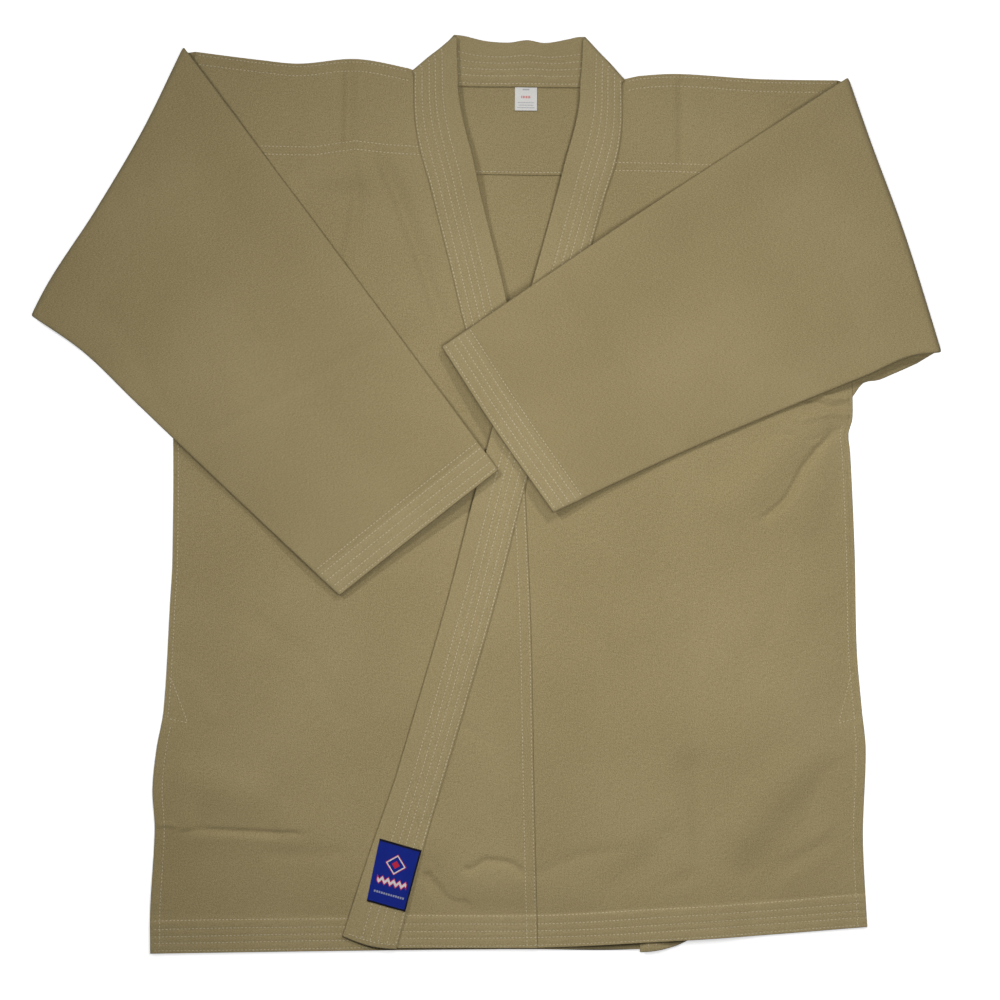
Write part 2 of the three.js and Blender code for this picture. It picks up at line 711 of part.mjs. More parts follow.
// A sleeve: a flattened tube that leaves the armhole, turns over at the fold and lies back on the front.
function addSleeve(name, shape) {
  const fold = route(shape.fold);
  const plan = patch(fold, route(shape.cuff), route(shape.upper), route(shape.lower));
  const armhole = route(shape.armhole);
  const stubLower = route(shape.stubLower);
  const outwardSign = Math.sign(shape.fold[0].x);
  const length = (v) => {
    const [a, b] = [plan(0, v), plan(1, v)];
    return Math.hypot(b.x - a.x, b.up - a.up);
  };
  const turnRadius = (FOLD_LIFT + SLEEVE_HALF - STUB_HALF) / 2;
  const inset = (v) => (turnRadius + SLEEVE_HALF) / length(v);

  // The middle of the two layers at station and v, with the direction from there to the outer layer
  const stations = [];
  for (const f of STUB_STATIONS) {
    stations.push((v) => {
      const from = armhole(v);
      const to = plan(inset(v), v);
      const nearLower = v * v;
      const straight = along(from, to, f);
      const curved = stubLower(f * STUB_REACH);
      const flat = along(shape.armhole[1], plan(inset(1), 1), f);
      return {
        x: straight.x + outwardSign * GAP * (1 - f) + (curved.x - flat.x) * nearLower,
        y: straight.up + (curved.up - flat.up) * nearLower,
        z: STUB_HALF,
        normal: new THREE.Vector3(0, 0, -1),
        half: STUB_HALF,
        hem: 0,
      };
    });
  }
  for (let k = 0; k <= FOLD_STEPS; k++) {
    const angle = (Math.PI * k) / FOLD_STEPS;
    stations.push((v) => {
      const axis = plan(inset(v), v);
      const edge = plan(0, v);
      const out = new THREE.Vector3(edge.x - axis.x, edge.up - axis.up, 0).normalize();
      return {
        x: axis.x + out.x * turnRadius * Math.sin(angle),
        y: axis.up + out.y * turnRadius * Math.sin(angle),
        z: STUB_HALF + turnRadius * (1 - Math.cos(angle)),
        normal: out.multiplyScalar(Math.sin(angle)).add(new THREE.Vector3(0, 0, -Math.cos(angle))),
        half: mix(STUB_HALF, SLEEVE_HALF, ease(0, FOLD_STEPS, k)),
        hem: 0,
      };
    });
  }
  const meanLength = length(0.5);
  const hemStart = 1 - CUFF_HEM / meanLength;
  for (const u of [...LAID_STATIONS, hemStart, hemStart + HEM_STEP / meanLength, 1]) {
    stations.push((v) => {
      const p = plan(u, v);
      return {
        x: p.x,
        y: p.up,
        z: sleeveLift(p.x, p.up) + SLEEVE_HALF,
        normal: new THREE.Vector3(0, 0, 1),
        half: SLEEVE_HALF,
        hem: u > hemStart ? HEM_EXTRA : 0,
      };
    });
  }

  // Round the ring: out along one layer from the upper edge to the lower, and back along the other
  const around = [
    ...SLEEVE_RING.map((row) => ({ ...row, side: 1 })),
    ...SLEEVE_RING.slice(1, -1)
      .reverse()
      .map((row) => ({ ...row, side: -1 })),
  ];
  const wallAt = (station, { v, full, side }, inner) => {
    const [first, last] = [station(0), station(1)];
    const margin = inner ? CLOTH / Math.hypot(last.x - first.x, last.y - first.y) : 0;
    const middle = station(mix(margin, 1 - margin, v));
    const half = inner ? middle.half - CLOTH : middle.half;
    const thinner = inner ? middle.hem * full : 0;
    const offset = (half - thinner) * full * side;
    return new THREE.Vector3(middle.x, middle.y, middle.z).addScaledVector(middle.normal, offset);
  };
  const outer = stations.map((station) => around.map((point) => wallAt(station, point, false)));
  const inner = stations.map((station) => around.map((point) => wallAt(station, point, true)));
  return addPiece(name, solidBetween(outer, inner, true), CANVAS);
}
addSleeve("sleeve_right", SLEEVE_RIGHT);
addSleeve("sleeve_left", SLEEVE_LEFT);

// The woven patch on the upper lapel, made from the lapel's own surface, moved out
{
  const base = lapelBase(upperFront);
  const plan = (u, v) => {
    const seamUp = LABEL.up + (v * LABEL.tall) / ALONG;
    const w = LABEL.fromSeam + u * LABEL.wide;
    return { x: lapelLeft(seamUp) - w / ALONG, up: seamUp + (w * LEAN) / ALONG };
  };
  const heights = (extra) => (x, up) => {
    const w = (lapelLeft(up) - x) / ALONG;
    return base(x, up, w) + BAND_THICK + GAP + extra;
  };
  const inside = BAND_COLUMNS.map((w) => (w - LABEL.fromSeam) / LABEL.wide);
  addSheet("label_patch", {
    plan,
    us: inside.map(clamp01),
    vs: steps(4),
    under: heights(0),
    over: heights(LABEL.thick),
    material: WOVEN_BLUE,
  });
}

// The size tag, which hangs from the neck seam and lies on the yoke
{
  const low = 2 * CLOTH + 2 * GAP;
  addSheet("size_tag", {
    plan: (u, v) => {
      const x = TAG.x + (u - 0.5) * TAG.wide;
      return { x, up: neckline(x) - GAP - (1 - v) * TAG.tall };
    },
    us: steps(1),
    vs: steps(1),
    under: () => low,
    over: () => low + TAG.thick,
    material: WHITE_TAPE,
  });
}

// The origin is on the surface that the jacket lies on, under the middle of its outline.
const outline = new THREE.Box3().setFromObject(jacket);
const middle = outline.getCenter(new THREE.Vector3());
jacket.position.set(-middle.x, -middle.y, 0);

export default jacket;
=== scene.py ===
# %% [markdown]
# # The jacket of a karate uniform, laid flat
# The real jacket is heavy cotton canvas, cut into flat panels and sewn with many rows of cream
# thread. It lies on its back with both sleeves folded over the front, and is seen from straight
# above. We lay every panel as a thin shell of cloth on the form that the solid model gives it,
# and then add what a solid model leaves out: creases, quilted bands, stitches, weave and labels.

# %% Tools, and the solid model as a fixed frame
import bmesh
import bpy
import numpy as np
from mathutils import Matrix, Vector


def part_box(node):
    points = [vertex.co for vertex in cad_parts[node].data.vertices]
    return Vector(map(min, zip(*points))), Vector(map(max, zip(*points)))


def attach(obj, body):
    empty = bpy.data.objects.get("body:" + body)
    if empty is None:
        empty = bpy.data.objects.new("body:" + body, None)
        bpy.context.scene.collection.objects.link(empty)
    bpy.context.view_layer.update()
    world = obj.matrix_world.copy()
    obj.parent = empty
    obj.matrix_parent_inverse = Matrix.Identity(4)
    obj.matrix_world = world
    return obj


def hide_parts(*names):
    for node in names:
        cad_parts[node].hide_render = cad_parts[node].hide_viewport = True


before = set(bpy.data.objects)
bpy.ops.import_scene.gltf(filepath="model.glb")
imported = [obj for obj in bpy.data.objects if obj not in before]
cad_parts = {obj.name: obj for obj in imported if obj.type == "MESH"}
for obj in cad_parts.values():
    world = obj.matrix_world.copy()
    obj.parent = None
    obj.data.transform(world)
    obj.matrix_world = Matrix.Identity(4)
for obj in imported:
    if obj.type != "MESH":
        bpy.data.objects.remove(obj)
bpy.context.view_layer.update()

# %% [markdown]
# ## Measures
# All lengths of the pattern are in millimetres, measured from the middle of the hem: a place on the
# cloth is x across and "up" towards the collar. Blender works in metres about the middle of the
# whole garment, so one small move at the end takes the pattern there.

# %% Thicknesses and places of the pattern
CLOTH = 1.2  # one layer of canvas
GAP = 0.3  # air between two cloths that lie on each other
HEM_EXTRA = 0.8  # a turned hem is this much thicker
HEM_BAND, HEM_STEP = 30.5, 2.0  # depth of the body's hem, and the slope above it
HEM_CLEAR = 47.0  # the layers above a hem stay raised up to here
BAND_WIDTH, BAND_THICK, BAND_GAP = 42.0, 2.6, 0.6  # the collar band
SEAM_ALLOWANCE, SINK_END = 12.0, 30.0
LEAN = 0.28
ALONG = float(np.hypot(1, LEAN))
PATTERN_TO_FRAME = (22.14, -409.72)
MM = 0.001

SIDE_RIGHT = [(-3.6, -325), (36, -325), (108, -321), (144, -323), (180, -319.5), (216, -313),
              (315, -307), (351, -305), (470, -304.5), (500, -308)]
SIDE_LEFT = [(19, 321), (72, 318), (108, 317), (180, 319.5), (216, 316), (270, 311.5), (360, 309.5),
             (447, 305.6), (464, 304), (478, 307.5), (498, 307.8)]
SHOULDER_END_RIGHT, SHOULDER_END_LEFT = -284.5 + 808.8j, 294 + 783j
SHOULDER_RIGHT = [(-284.5, 808.8), (-224, 801), (-190, 798), (-140, 802), (-92, 793.4), (-86.5, 791)]
SHOULDER_LEFT = [(99, 782.8), (106.2, 784.6), (116, 786.6), (152, 788.5), (224, 784), (294, 783)]
NECKLINE = [(-86.3, 787), (-68, 782), (-46, 777.8), (8, 777), (64, 776.5), (100, 778)]
COLLAR_TOP = [(-51.2, 823.9), (-42, 822.8), (-22.5, 818.1), (-2, 816.6), (14.4, 818.8),
              (30.6, 816.3), (51.3, 819.8), (59.4, 821.7), (67.0, 822.0)]
HEM_BACK = [(-325, -3.6), (-150, -1), (0, 0.5), (115, 0.5), (165, 10), (220, 14), (285, 19), (321, 21)]
HEM_UNDER = [(-325, -3.6), (-150, -1), (0, 0.5), (140, 0.5)]
HEM_UPPER = [(-110, 1.5), (24, 1.8), (121, 6.6), (220, 12.6), (321, 20.5)]
LAPEL_RIGHT = [(3.6, 116), (300, 31), (558, -40.7), (621, -56), (688, -72.5), (775, -88.8),
               (787.5, -87.2)]
LAPEL_LEFT = [(1.5, -103), (106, -75), (214, -43), (318, -13), (421, 13.5), (634, 72), (713, 93),
              (764, 102.2), (780.0, 99.6)]
LAPEL_FLARE = [(1.5, 8.5), (12.6, 8.1), (99, 3.0), (153, 0.0), (200, 0.0)]  # the band is wider at its end
WEDGE_SEAM_LEFT = [(1.8, 24.3), (139, 21), (300, 17.8), (455, 11)]
WEDGE_SEAM_RIGHT = [(0.5, -12), (300, -9), (455, 1)]
WEDGE_TOP, WEDGE_TIP = 455.0, 425.0

# %% Helpers that read a table as a smooth curve
def ease(low, high, value):
    share = np.clip((value - low) / (high - low), 0, 1)
    return share * share * (3 - 2 * share)


def mix(a, b, share):
    return a + (b - a) * share


def reader(table):
    """A smooth curve through (place, value) rows."""
    keys, values = np.array(table, float).T
    n = len(keys)
    low, high = np.maximum(np.arange(n) - 1, 0), np.minimum(np.arange(n) + 1, n - 1)
    slopes = (values[high] - values[low]) / (keys[high] - keys[low])

    def read(at):
        at = np.asarray(at, float)
        i = np.clip(np.searchsorted(keys, at) - 1, 0, n - 2)
        span = keys[i + 1] - keys[i]
        t = np.clip((at - keys[i]) / span, 0, 1)
        t2, t3 = t * t, t * t * t
        return ((2 * t3 - 3 * t2 + 1) * values[i] + (t3 - 2 * t2 + t) * span * slopes[i]
                + (3 * t2 - 2 * t3) * values[i + 1] + (t3 - t2) * span * slopes[i + 1])

    return read


shoulder_right, shoulder_left = reader(SHOULDER_RIGHT), reader(SHOULDER_LEFT)
neckline, collar_top = reader(NECKLINE), reader(COLLAR_TOP)
hem_back, hem_under, hem_upper = reader(HEM_BACK), reader(HEM_UNDER), reader(HEM_UPPER)
side_right, side_left = reader(SIDE_RIGHT), reader(SIDE_LEFT)
lapel_right, lapel_left = reader(LAPEL_RIGHT), reader(LAPEL_LEFT)
flare_left = reader(LAPEL_FLARE)
wedge_left, wedge_right = reader(WEDGE_SEAM_LEFT), reader(WEDGE_SEAM_RIGHT)


def body_right(up):
    armhole = mix(SIDE_RIGHT[-1][1], SHOULDER_END_RIGHT.real,
                  (up - SIDE_RIGHT[-1][0]) / (SHOULDER_END_RIGHT.imag - SIDE_RIGHT[-1][0]))
    return np.where(up <= SIDE_RIGHT[-1][0], side_right(up), armhole)


def body_left(up):
    armhole = mix(SIDE_LEFT[-1][1], SHOULDER_END_LEFT.real,
                  (up - SIDE_LEFT[-1][0]) / (SHOULDER_END_LEFT.imag - SIDE_LEFT[-1][0]))
    return np.where(up <= SIDE_LEFT[-1][0], side_left(up), armhole)


print("chest", round(float(body_left(450.0) - body_right(450.0))), "mm, length",
      round(SHOULDER_END_RIGHT.imag), "mm")

# %% [markdown]
# ## Relief: folds, trapped air and creases
# Cloth that is laid by hand is never quite flat. Air stays under the middle of each front, a few broad
# folds run across it, and finer creases show where it was folded away in its bag. Every one is a line
# with its own height and width, placed where the photograph shows it, and the heights are
# added up. A trough has a height below nought, and needs air under it, because no cloth can sink
# through the layer that it lies on.

# %% Broad folds: most are the solid model's, and four of its troughs are creases of the next cell instead
FOLDS = [  # points, height, half width
    ([(-312, 116), (-186, 108)], 1.4, 30), ([(-290, 152), (-236, 142)], 2.0, 30),
    ([(-128, 700), (-92, 575)], 2, 28), ([(304, 505), (292, 452), (262, 398)], 2.4, 34),
    ([(270, 470), (196, 404)], 2.0, 28), ([(164, 160), (190, 40)], -2.6, 28),
    ([(139, 98), (104, 56)], -2, 26), ([(290, 150), (218, 66)], -2.6, 30),
    ([(250, 160), (205, 110)], 2, 30),
]
PUFF, PUFF_EDGE, PUFF_TOP, SIDE_FLAT = 3.0, 70.0, 770.0, 30.0

# %% Finer creases of the body
UNDER_ARM = [(303, 471), (289.8, 465.3), (276.3, 451.8), (262.4, 433.8), (253.8, 417.6), (249.3, 409.5),
             (243.6, 402.3), (235.8, 395.1), (220, 384)]
CREASES = [  # points, height, half widths to the left and right of the way they run, and sharpness
    ([(-292, 112), (-262, 108.5), (-235, 107), (-205, 105.5)], -2.6, 36, 7, 0.15),
    ([(-304, 104.6), (-282.6, 107.4), (-260.1, 107.6), (-215.1, 105.4), (-180, 105.1)], -1.8, 4.5, 9, 0.9),
    ([(-323, 110.4), (-318, 111.5), (-309.6, 112.5), (-300, 110)], 1.1, 6, 3, 0.8),
    ([(-226.8, 85.5), (-144, 85.5)], -0.9, 12, 9, 0.3),
    ([(-150, 802), (-150, 680)], 3.4, 50, 50, 0.0),
    ([(-123, 722), (-104.4, 679.5), (-93.6, 651.6), (-81.9, 619.2), (-70.2, 585), (-60, 550)],
     -3.2, 14, 6.5, 0.4),
    ([(-119, 735), (-88, 684), (-60, 611)], 1.0, 13, 13, 0.2),
    ([(-145.8, 802), (-146.7, 765), (-148, 712)], -4.0, 13, 7, 0.4),
    ([(-193.5, 776), (-197, 685)], -1.6, 11, 6, 0.4),
    ([(-144, 720), (-139.5, 675), (-145, 643.5), (-152, 608)], -3.0, 13, 7, 0.4),
    ([(153, 790), (153, 700)], -2.2, 12, 6, 0.4),
    (UNDER_ARM, -2.0, 10, 19, 0.6),
    (UNDER_ARM, -2.9, 6, 4.5, 0.9),
    ([(303, 468), (284, 462), (272, 452)], 0.7, 3, 4, 0.6),
    ([(233, 463.5), (258, 463.5)], -0.9, 6, 4, 0.8), ([(262, 457), (286, 462)], -0.6, 6, 4, 0.8),
    ([(309, 492), (287.6, 488.7), (262, 497)], -1.9, 7, 4, 0.9),
    ([(309, 497), (290, 496), (266, 503)], 1.6, 4, 5, 0.6),
    ([(309, 481), (288, 484), (258, 477)], 1.7, 7, 4, 0.6),
    ([(272, 508), (244, 490)], -1.2, 7, 4, 0.8), ([(296, 507), (262, 511)], -1.0, 6, 4, 0.7),
    ([(165.6, 112), (170.1, 85.5), (192.6, 72), (188.1, 32)], -1.3, 11, 8, 0.3),
    ([(97, 38), (170.1, 72)], -1.1, 9, 12, 0.3),
    ([(309, 121), (287.1, 99), (210, 55)], -1.5, 13, 9, 0.3), ([(301, 176), (291.6, 112)], -1.0, 9, 9, 0.2),
    ([(-71.1, 101), (-72.9, 84.6), (-65, 66)], -0.9, 6, 3.5, 0.7),
    ([(-79.2, 72.9), (-71.1, 61.2), (-63.9, 49.5), (-56.7, 42.3), (-47.7, 39.6), (-34, 41)], -2.4, 8, 9, 0.6),
    ([(-90, 104), (-30, 62), (25, 60)], 2.2, 34, 34, 0.0),
    ([(-47, 75), (-36.9, 72.4), (-29.7, 76.5), (-22.5, 81), (-4.5, 79.2), (2.7, 76.5), (8.1, 72), (11.5, 62)],
     -2.1, 6, 9, 0.7),
    ([(12, 65), (26.1, 68.4), (62.1, 84), (116.1, 92)], -1.0, 10, 6, 0.5),
    ([(-45.9, 205), (-14, 182)], -0.7, 8, 8, 0.2), ([(159.3, 370), (170.1, 80)], -0.7, 12, 12, 0.2),
    ([(40, 646), (24, 594)], -0.6, 9, 9, 0.2), ([(-250, 310), (-180, 262), (-145, 198)], -0.7, 14, 18, 0.2),
    ([(60, 310), (96, 250), (106, 182)], -0.7, 15, 18, 0.2), ([(254, 340), (220, 262)], -0.7, 14, 14, 0.2),
    ([(-262, 420), (-205, 380), (-160, 300)], -0.6, 16, 20, 0.1),
    ([(-292, 250), (-262, 200)], 0.7, 12, 12, 0.1),
]


def from_line(x, up, points):
    """How far each place is from a line, whether on its left, and which share of it is nearest."""
    spot, nearest, left, share = x + 1j * up, np.inf, False, 0.0
    knots = np.array([complex(*p) for p in points])
    start = np.concatenate([[0], np.cumsum(abs(np.diff(knots)))])
    for a, b, s0, s1 in zip(knots, knots[1:], start, start[1:]):
        along = (spot - a) * np.conj(b - a)
        t = np.clip(along.real / abs(b - a) ** 2, 0, 1)
        distance = abs(spot - a - t * (b - a))
        closer = distance < nearest
        left, share = np.where(closer, along.imag > 0, left), np.where(closer, mix(s0, s1, t), share)
        nearest = np.minimum(nearest, distance)
    return nearest, left, share / start[-1]


def lifts(table, x, up):
    return sum(lift * (1 - ease(0, half, from_line(x, up, points)[0])) for points, lift, half in table)


def pressed(table, x, up):
    """Creases, which fade at both ends; a sharp one has a kink along its line."""
    total = 0.0
    for points, lift, left_half, right_half, sharp in table:
        distance, left, share = from_line(x, up, points)
        t = np.clip(distance / np.where(left, left_half, right_half), 0, 1)
        fade = ease(0, 0.14, share) * (1 - ease(0.86, 1, share))
        total = total + lift * fade * mix(1 - ease(0, 1, t), (1 - t) ** 2, sharp)
    return total


def drift(x, up):
    """The last slight waviness of pressed cloth."""
    return (0.3 * np.sin(x / 31 + 1.1 * np.sin(up / 83)) + 0.25 * np.sin(up / 43 + x / 97 + 1.3)
            + 0.16 * np.sin((x - up) / 17 + 0.8 * np.sin(up / 29)))


def relief(x, up):
    from_side = np.minimum(x - body_right(up), body_left(up) - x)
    puff = PUFF
    for distance in (from_side, up - 27, PUFF_TOP - up):
        puff = puff * ease(0, PUFF_EDGE, distance)
    seam = lapel_left(up)  # the upper band is stiff, and no fine crease shows through it
    under_band = ease(seam - 62, seam - 50, x) * (1 - ease(seam - 6, seam + 1, x))
    fine = pressed(CREASES, x, up) * (1 - under_band) + drift(x, up)
    fine = fine * ease(0, 4, from_side) * ease(28, 46, up)
    return lifts(FOLDS, x, up) * ease(0, SIDE_FLAT, from_side) + puff + fine


print(len(FOLDS), "broad folds and", len(CREASES), "creases on the body")

# %% [markdown]
# ## How high each layer lies
# The layers rest on each other: the back on the ground, the yoke on the back, the wearer's right front
# on both, and the left front over its neighbour's band. Each height is the one below plus a cloth and
# a little air, and long soft ramps lead over every edge underneath.

# %% Heights of the two fronts
CLEAR, CLEAR_WIDE, SLOPE, WIDE_SLOPE = 4.0, 20.0, 40.0, 60.0
YOKE_EDGE, YOKE_HALF, YOKE_INSET = 698.0, 226.0, 3.0


def hem_rise(up):
    return HEM_EXTRA * (1 - ease(HEM_CLEAR, HEM_CLEAR + SLOPE, up))


def on_the_back(x, up):
    beside = ease(YOKE_HALF + CLEAR, YOKE_HALF + CLEAR + SLOPE, abs(x))
    over_yoke = ease(YOKE_EDGE - CLEAR - SLOPE, YOKE_EDGE - CLEAR, up) * (1 - beside)
    return (CLOTH + GAP) * (1 + over_yoke) + hem_rise(up)


def neck_lift(x, up):
    return 4.2 * ease(640, 745, up) * (1 - ease(100, 180, abs(x - 6)))


def lower_front(x, up):
    edge = lapel_left(up) - BAND_WIDTH - 30
    hidden = ease(edge, edge + 80, x) * (1 - ease(540, 640, up))
    return on_the_back(x, up) + np.maximum(0, relief(x, up) * (1 - hidden) + neck_lift(x, up))


def upper_front(x, up):
    seam = lapel_right(up)
    free = seam + BAND_WIDTH * ALONG
    not_past = 1 - ease(free + CLEAR_WIDE, free + CLEAR_WIDE + WIDE_SLOPE, x)
    band = (BAND_THICK + BAND_GAP) * ease(seam - CLEAR_WIDE - WIDE_SLOPE, seam - CLEAR_WIDE, x)
    ride = (CLOTH + 2 * GAP + hem_rise(up) + band) * not_past * (1 - ease(585, 665, up))
    return on_the_back(x, up) + np.maximum(0, relief(x, up) + neck_lift(x, up)) + ride


print("upper front over the lower band:", round(float(upper_front(60.0, 250.0)), 1), "mm")

# %% [markdown]
# ## A panel as a thin shell
# A panel could be a flat grid with a Solidify modifier, but then its edges are cut square, and on this
# jacket every edge is a fold. So a grid is made by `create_grid` and wrapped once round the panel,
# over the top and back under it, and at the four edges the two walls meet in a soft round. Merging
# the doubles closes it. The cloth's own flat measures are kept as a UV map, for the weave.

# %% Helper: places along a side, closer together at the edges and in given bands
FINE = 1.15


def spread(length, pitch, rim, fine=()):
    stops = {rim, length - rim}
    for low, high, *_ in fine:
        stops |= {float(np.clip(low, rim, length - rim)), float(np.clip(high, rim, length - rim))}
    stops = sorted(stops)
    places = [0, 0.13 * rim, 0.5 * rim]
    for a, b in zip(stops, stops[1:]):
        steps = [(*step, FINE)[0] for low, high, *step in fine if low <= (a + b) / 2 <= high]
        count = max(1, round((b - a) / min([pitch, *steps])))
        places += [a + (b - a) * i / count for i in range(count)]
    places += [length - rim, length - 0.5 * rim, length - 0.13 * rim, length]
    return np.array(places) / length


# %% Helper: a grid mesh whose vertices are then put in place
def grid_mesh(name, columns, rows):
    """A grid, with each vertex's column and row."""
    bm = bmesh.new()
    bmesh.ops.create_grid(bm, x_segments=columns, y_segments=rows, size=1)
    mesh = bpy.data.meshes.new(name)
    bm.to_mesh(mesh)
    bm.free()
    flat = np.empty(3 * len(mesh.vertices))
    mesh.vertices.foreach_get("co", flat)
    flat = flat.reshape(-1, 3)
    column = np.rint((flat[:, 0] + 1) / 2 * columns).astype(int)
    row = np.rint((flat[:, 1] + 1) / 2 * rows).astype(int)
    return mesh, column, row


def settle(mesh, places, cloth_mm, finish):
    """Moves the vertices to places (mm), keeps the cloth's measures as UV, closes the seams."""
    moved = (places + np.array([*PATTERN_TO_FRAME, 0])) * MM
    mesh.vertices.foreach_set("co", moved.ravel())
    corner = np.empty(len(mesh.loops), int)
    mesh.loops.foreach_get("vertex_index", corner)
    mesh.uv_layers.new(name="cloth").data.foreach_set("uv", (cloth_mm[corner] * MM).ravel())
    bm = bmesh.new()
    bm.from_mesh(mesh)
    bmesh.ops.remove_doubles(bm, verts=bm.verts, dist=1e-6)
    bmesh.ops.recalc_face_normals(bm, faces=bm.faces)
    bm.to_mesh(mesh)
    bm.free()
    mesh.shade_smooth()
    mesh.materials.append(finish)
    piece = bpy.data.objects.new(mesh.name, mesh)
    bpy.context.scene.collection.objects.link(piece)
    print(f"{mesh.name}: {len(mesh.polygons)} faces")
    return piece


def from_ends(points, axis):
    """Each point's distance, along its row or column, from the nearer end."""
    step = np.linalg.norm(np.diff(points, axis=axis), axis=-1)
    start = np.concatenate([np.zeros_like(np.take(step, [0], axis)), np.cumsum(step, axis)], axis)
    return np.minimum(start, np.take(start, [-1], axis) - start)


def shell(name, over, under, cloth_mm, rim, finish):
    """A closed piece between two surfaces, each an array of rows by columns of points in mm."""
    middle = (over + under) / 2
    inset = np.minimum(from_ends(middle, 0), from_ends(middle, 1))
    full = np.sqrt(1 - (1 - np.clip(inset / rim, 0, 1)) ** 2)[..., None]
    over, under = middle + (over - middle) * full, middle + (under - middle) * full
    rows, columns = over.shape[:2]
    mesh, column, row = grid_mesh(name, 2 * (columns - 1), rows - 1)
    back = np.minimum(column, 2 * (columns - 1) - column)
    top = (column <= columns - 1)[:, None]
    places = np.where(top, over[row, back], under[row, back])
    return settle(mesh, places, cloth_mm[row, back], finish)


def raised(plan, height):
    return np.stack([plan.real, plan.imag, height], axis=-1)


def patch(start, end, low, high):
    """The flat shape between four edges; a place is one complex number, x + up * 1j."""
    def plan(u, v):
        corner = mix(mix(start(0.0), start(1.0), v), mix(end(0.0), end(1.0), v), u)
        return mix(start(v), end(v), u) + mix(low(u), high(u), v) - corner
    return plan


# %% [markdown]
# ## Shader maths as plain Python
# A weave is arithmetic on the cloth's measures. Wiring dozens of Math nodes by hand hides the sum, so
# a small class wraps one socket and lets `a * b + 1` add the nodes by itself. Colours go through one
# mixing method, because a Math node would turn them grey.

# %% Helper classes for materials
class Value:
    """One number in a node tree."""

    def __init__(self, finish, socket):
        self.finish, self.socket = finish, socket

    def maths(self, operation, *others):
        return self.finish.node("ShaderNodeMath", {"operation": operation},
                                {i: other for i, other in enumerate((self, *others))})

    def __add__(self, other): return self.maths("ADD", other)
    __radd__ = __add__
    def __mul__(self, other): return self.maths("MULTIPLY", other)
    __rmul__ = __mul__
    def __sub__(self, other): return self.maths("SUBTRACT", other)
    def __rsub__(self, other): return (self * -1.0) + other
    def __truediv__(self, other): return self.maths("DIVIDE", other)
    def __gt__(self, other): return self.maths("GREATER_THAN", other)
    def __lt__(self, other): return self.maths("LESS_THAN", other)
    def __abs__(self): return self.maths("ABSOLUTE")
    def sine(self): return self.maths("SINE")
    def fraction(self): return self.maths("FRACT")
    def clamped(self): return self.maths("MINIMUM", 1.0).maths("MAXIMUM", 0.0)


class Finish:
    """A material that is written node by node."""

    def __init__(self, name):
        self.material = bpy.data.materials.new(name)
        self.material.use_nodes = True
        self.tree = self.material.node_tree
        self.tree.nodes.clear()

    def node(self, kind, settings=None, sockets=None, output=0):
        made = self.tree.nodes.new(kind)
        for key, value in (settings or {}).items():
            setattr(made, key, value)
        for key, value in (sockets or {}).items():
            if isinstance(value, Value):
                self.tree.links.new(value.socket, made.inputs[key])
            else:
                made.inputs[key].default_value = value
        return Value(self, made.outputs[output])

    def blend(self, share, first, second):
        """From the first colour to the second; a colour is three numbers or a socket."""
        a, b = (c if isinstance(c, Value) else (*c, 1.0) for c in (first, second))
        return self.node("ShaderNodeMix", {"data_type": "RGBA"}, {0: share, 6: a, 7: b}, 2)

    def cloth_measures(self):
        uv = self.node("ShaderNodeUVMap", {"uv_map": "cloth"})
        apart = {"ShaderNodeSeparateXYZ": {0: uv}}
        x = self.node("ShaderNodeSeparateXYZ", None, apart["ShaderNodeSeparateXYZ"], 0)
        y = self.node("ShaderNodeSeparateXYZ", None, apart["ShaderNodeSeparateXYZ"], 1)
        return uv, x, y

    def noise(self, vector, stretch, detail=2.0, roughness=0.5, turn=0.0):
        """Noise with so many features in a metre, each way, after a turn."""
        place = self.node("ShaderNodeMapping", {"vector_type": "TEXTURE"},
                          {"Vector": vector, "Rotation": (0, 0, turn),
                           "Scale": (1 / stretch[0], 1 / stretch[1], 1.0)})
        return self.node("ShaderNodeTexNoise", {"noise_dimensions": "2D"},
                         {"Vector": place, "Scale": 1.0, "Detail": detail, "Roughness": roughness})

    def surface(self, colour, roughness, height, depth, **constants):
        """The shader itself: height is from 0 to 1 and depth, in metres, what 1 stands for."""
        bump = self.node("ShaderNodeBump", None,
                         {"Strength": 1.0, "Distance": depth, "Height": height})
        fixed = {key.replace("_", " "): value for key, value in constants.items()}
        shader = self.node("ShaderNodeBsdfPrincipled", None,
                           {"Base Color": colour, "Roughness": roughness, "Normal": bump, **fixed})
        output = self.tree.nodes.new("ShaderNodeOutputMaterial")
        self.tree.links.new(shader.socket, output.inputs["Surface"])
        return self.material


# %% [markdown]
# ## Canvas
# The cloth is a close plain weave of thick and thin yarns, so its khaki is never even: slubs run
# along both threads, its colour lies in soft clouds, and a short nap catches the light. The weave could be
# a picture, but threads 0.8 mm apart are easily written as two crossing sine waves on the cloth's own
# measures, and noise stretched along each thread makes the slubs.

# %% The canvas material
THREAD_PITCH = 0.0008
KHAKI_DEEP, KHAKI, KHAKI_PALE = (0.213, 0.166, 0.075), (0.288, 0.229, 0.110), (0.372, 0.305, 0.166)


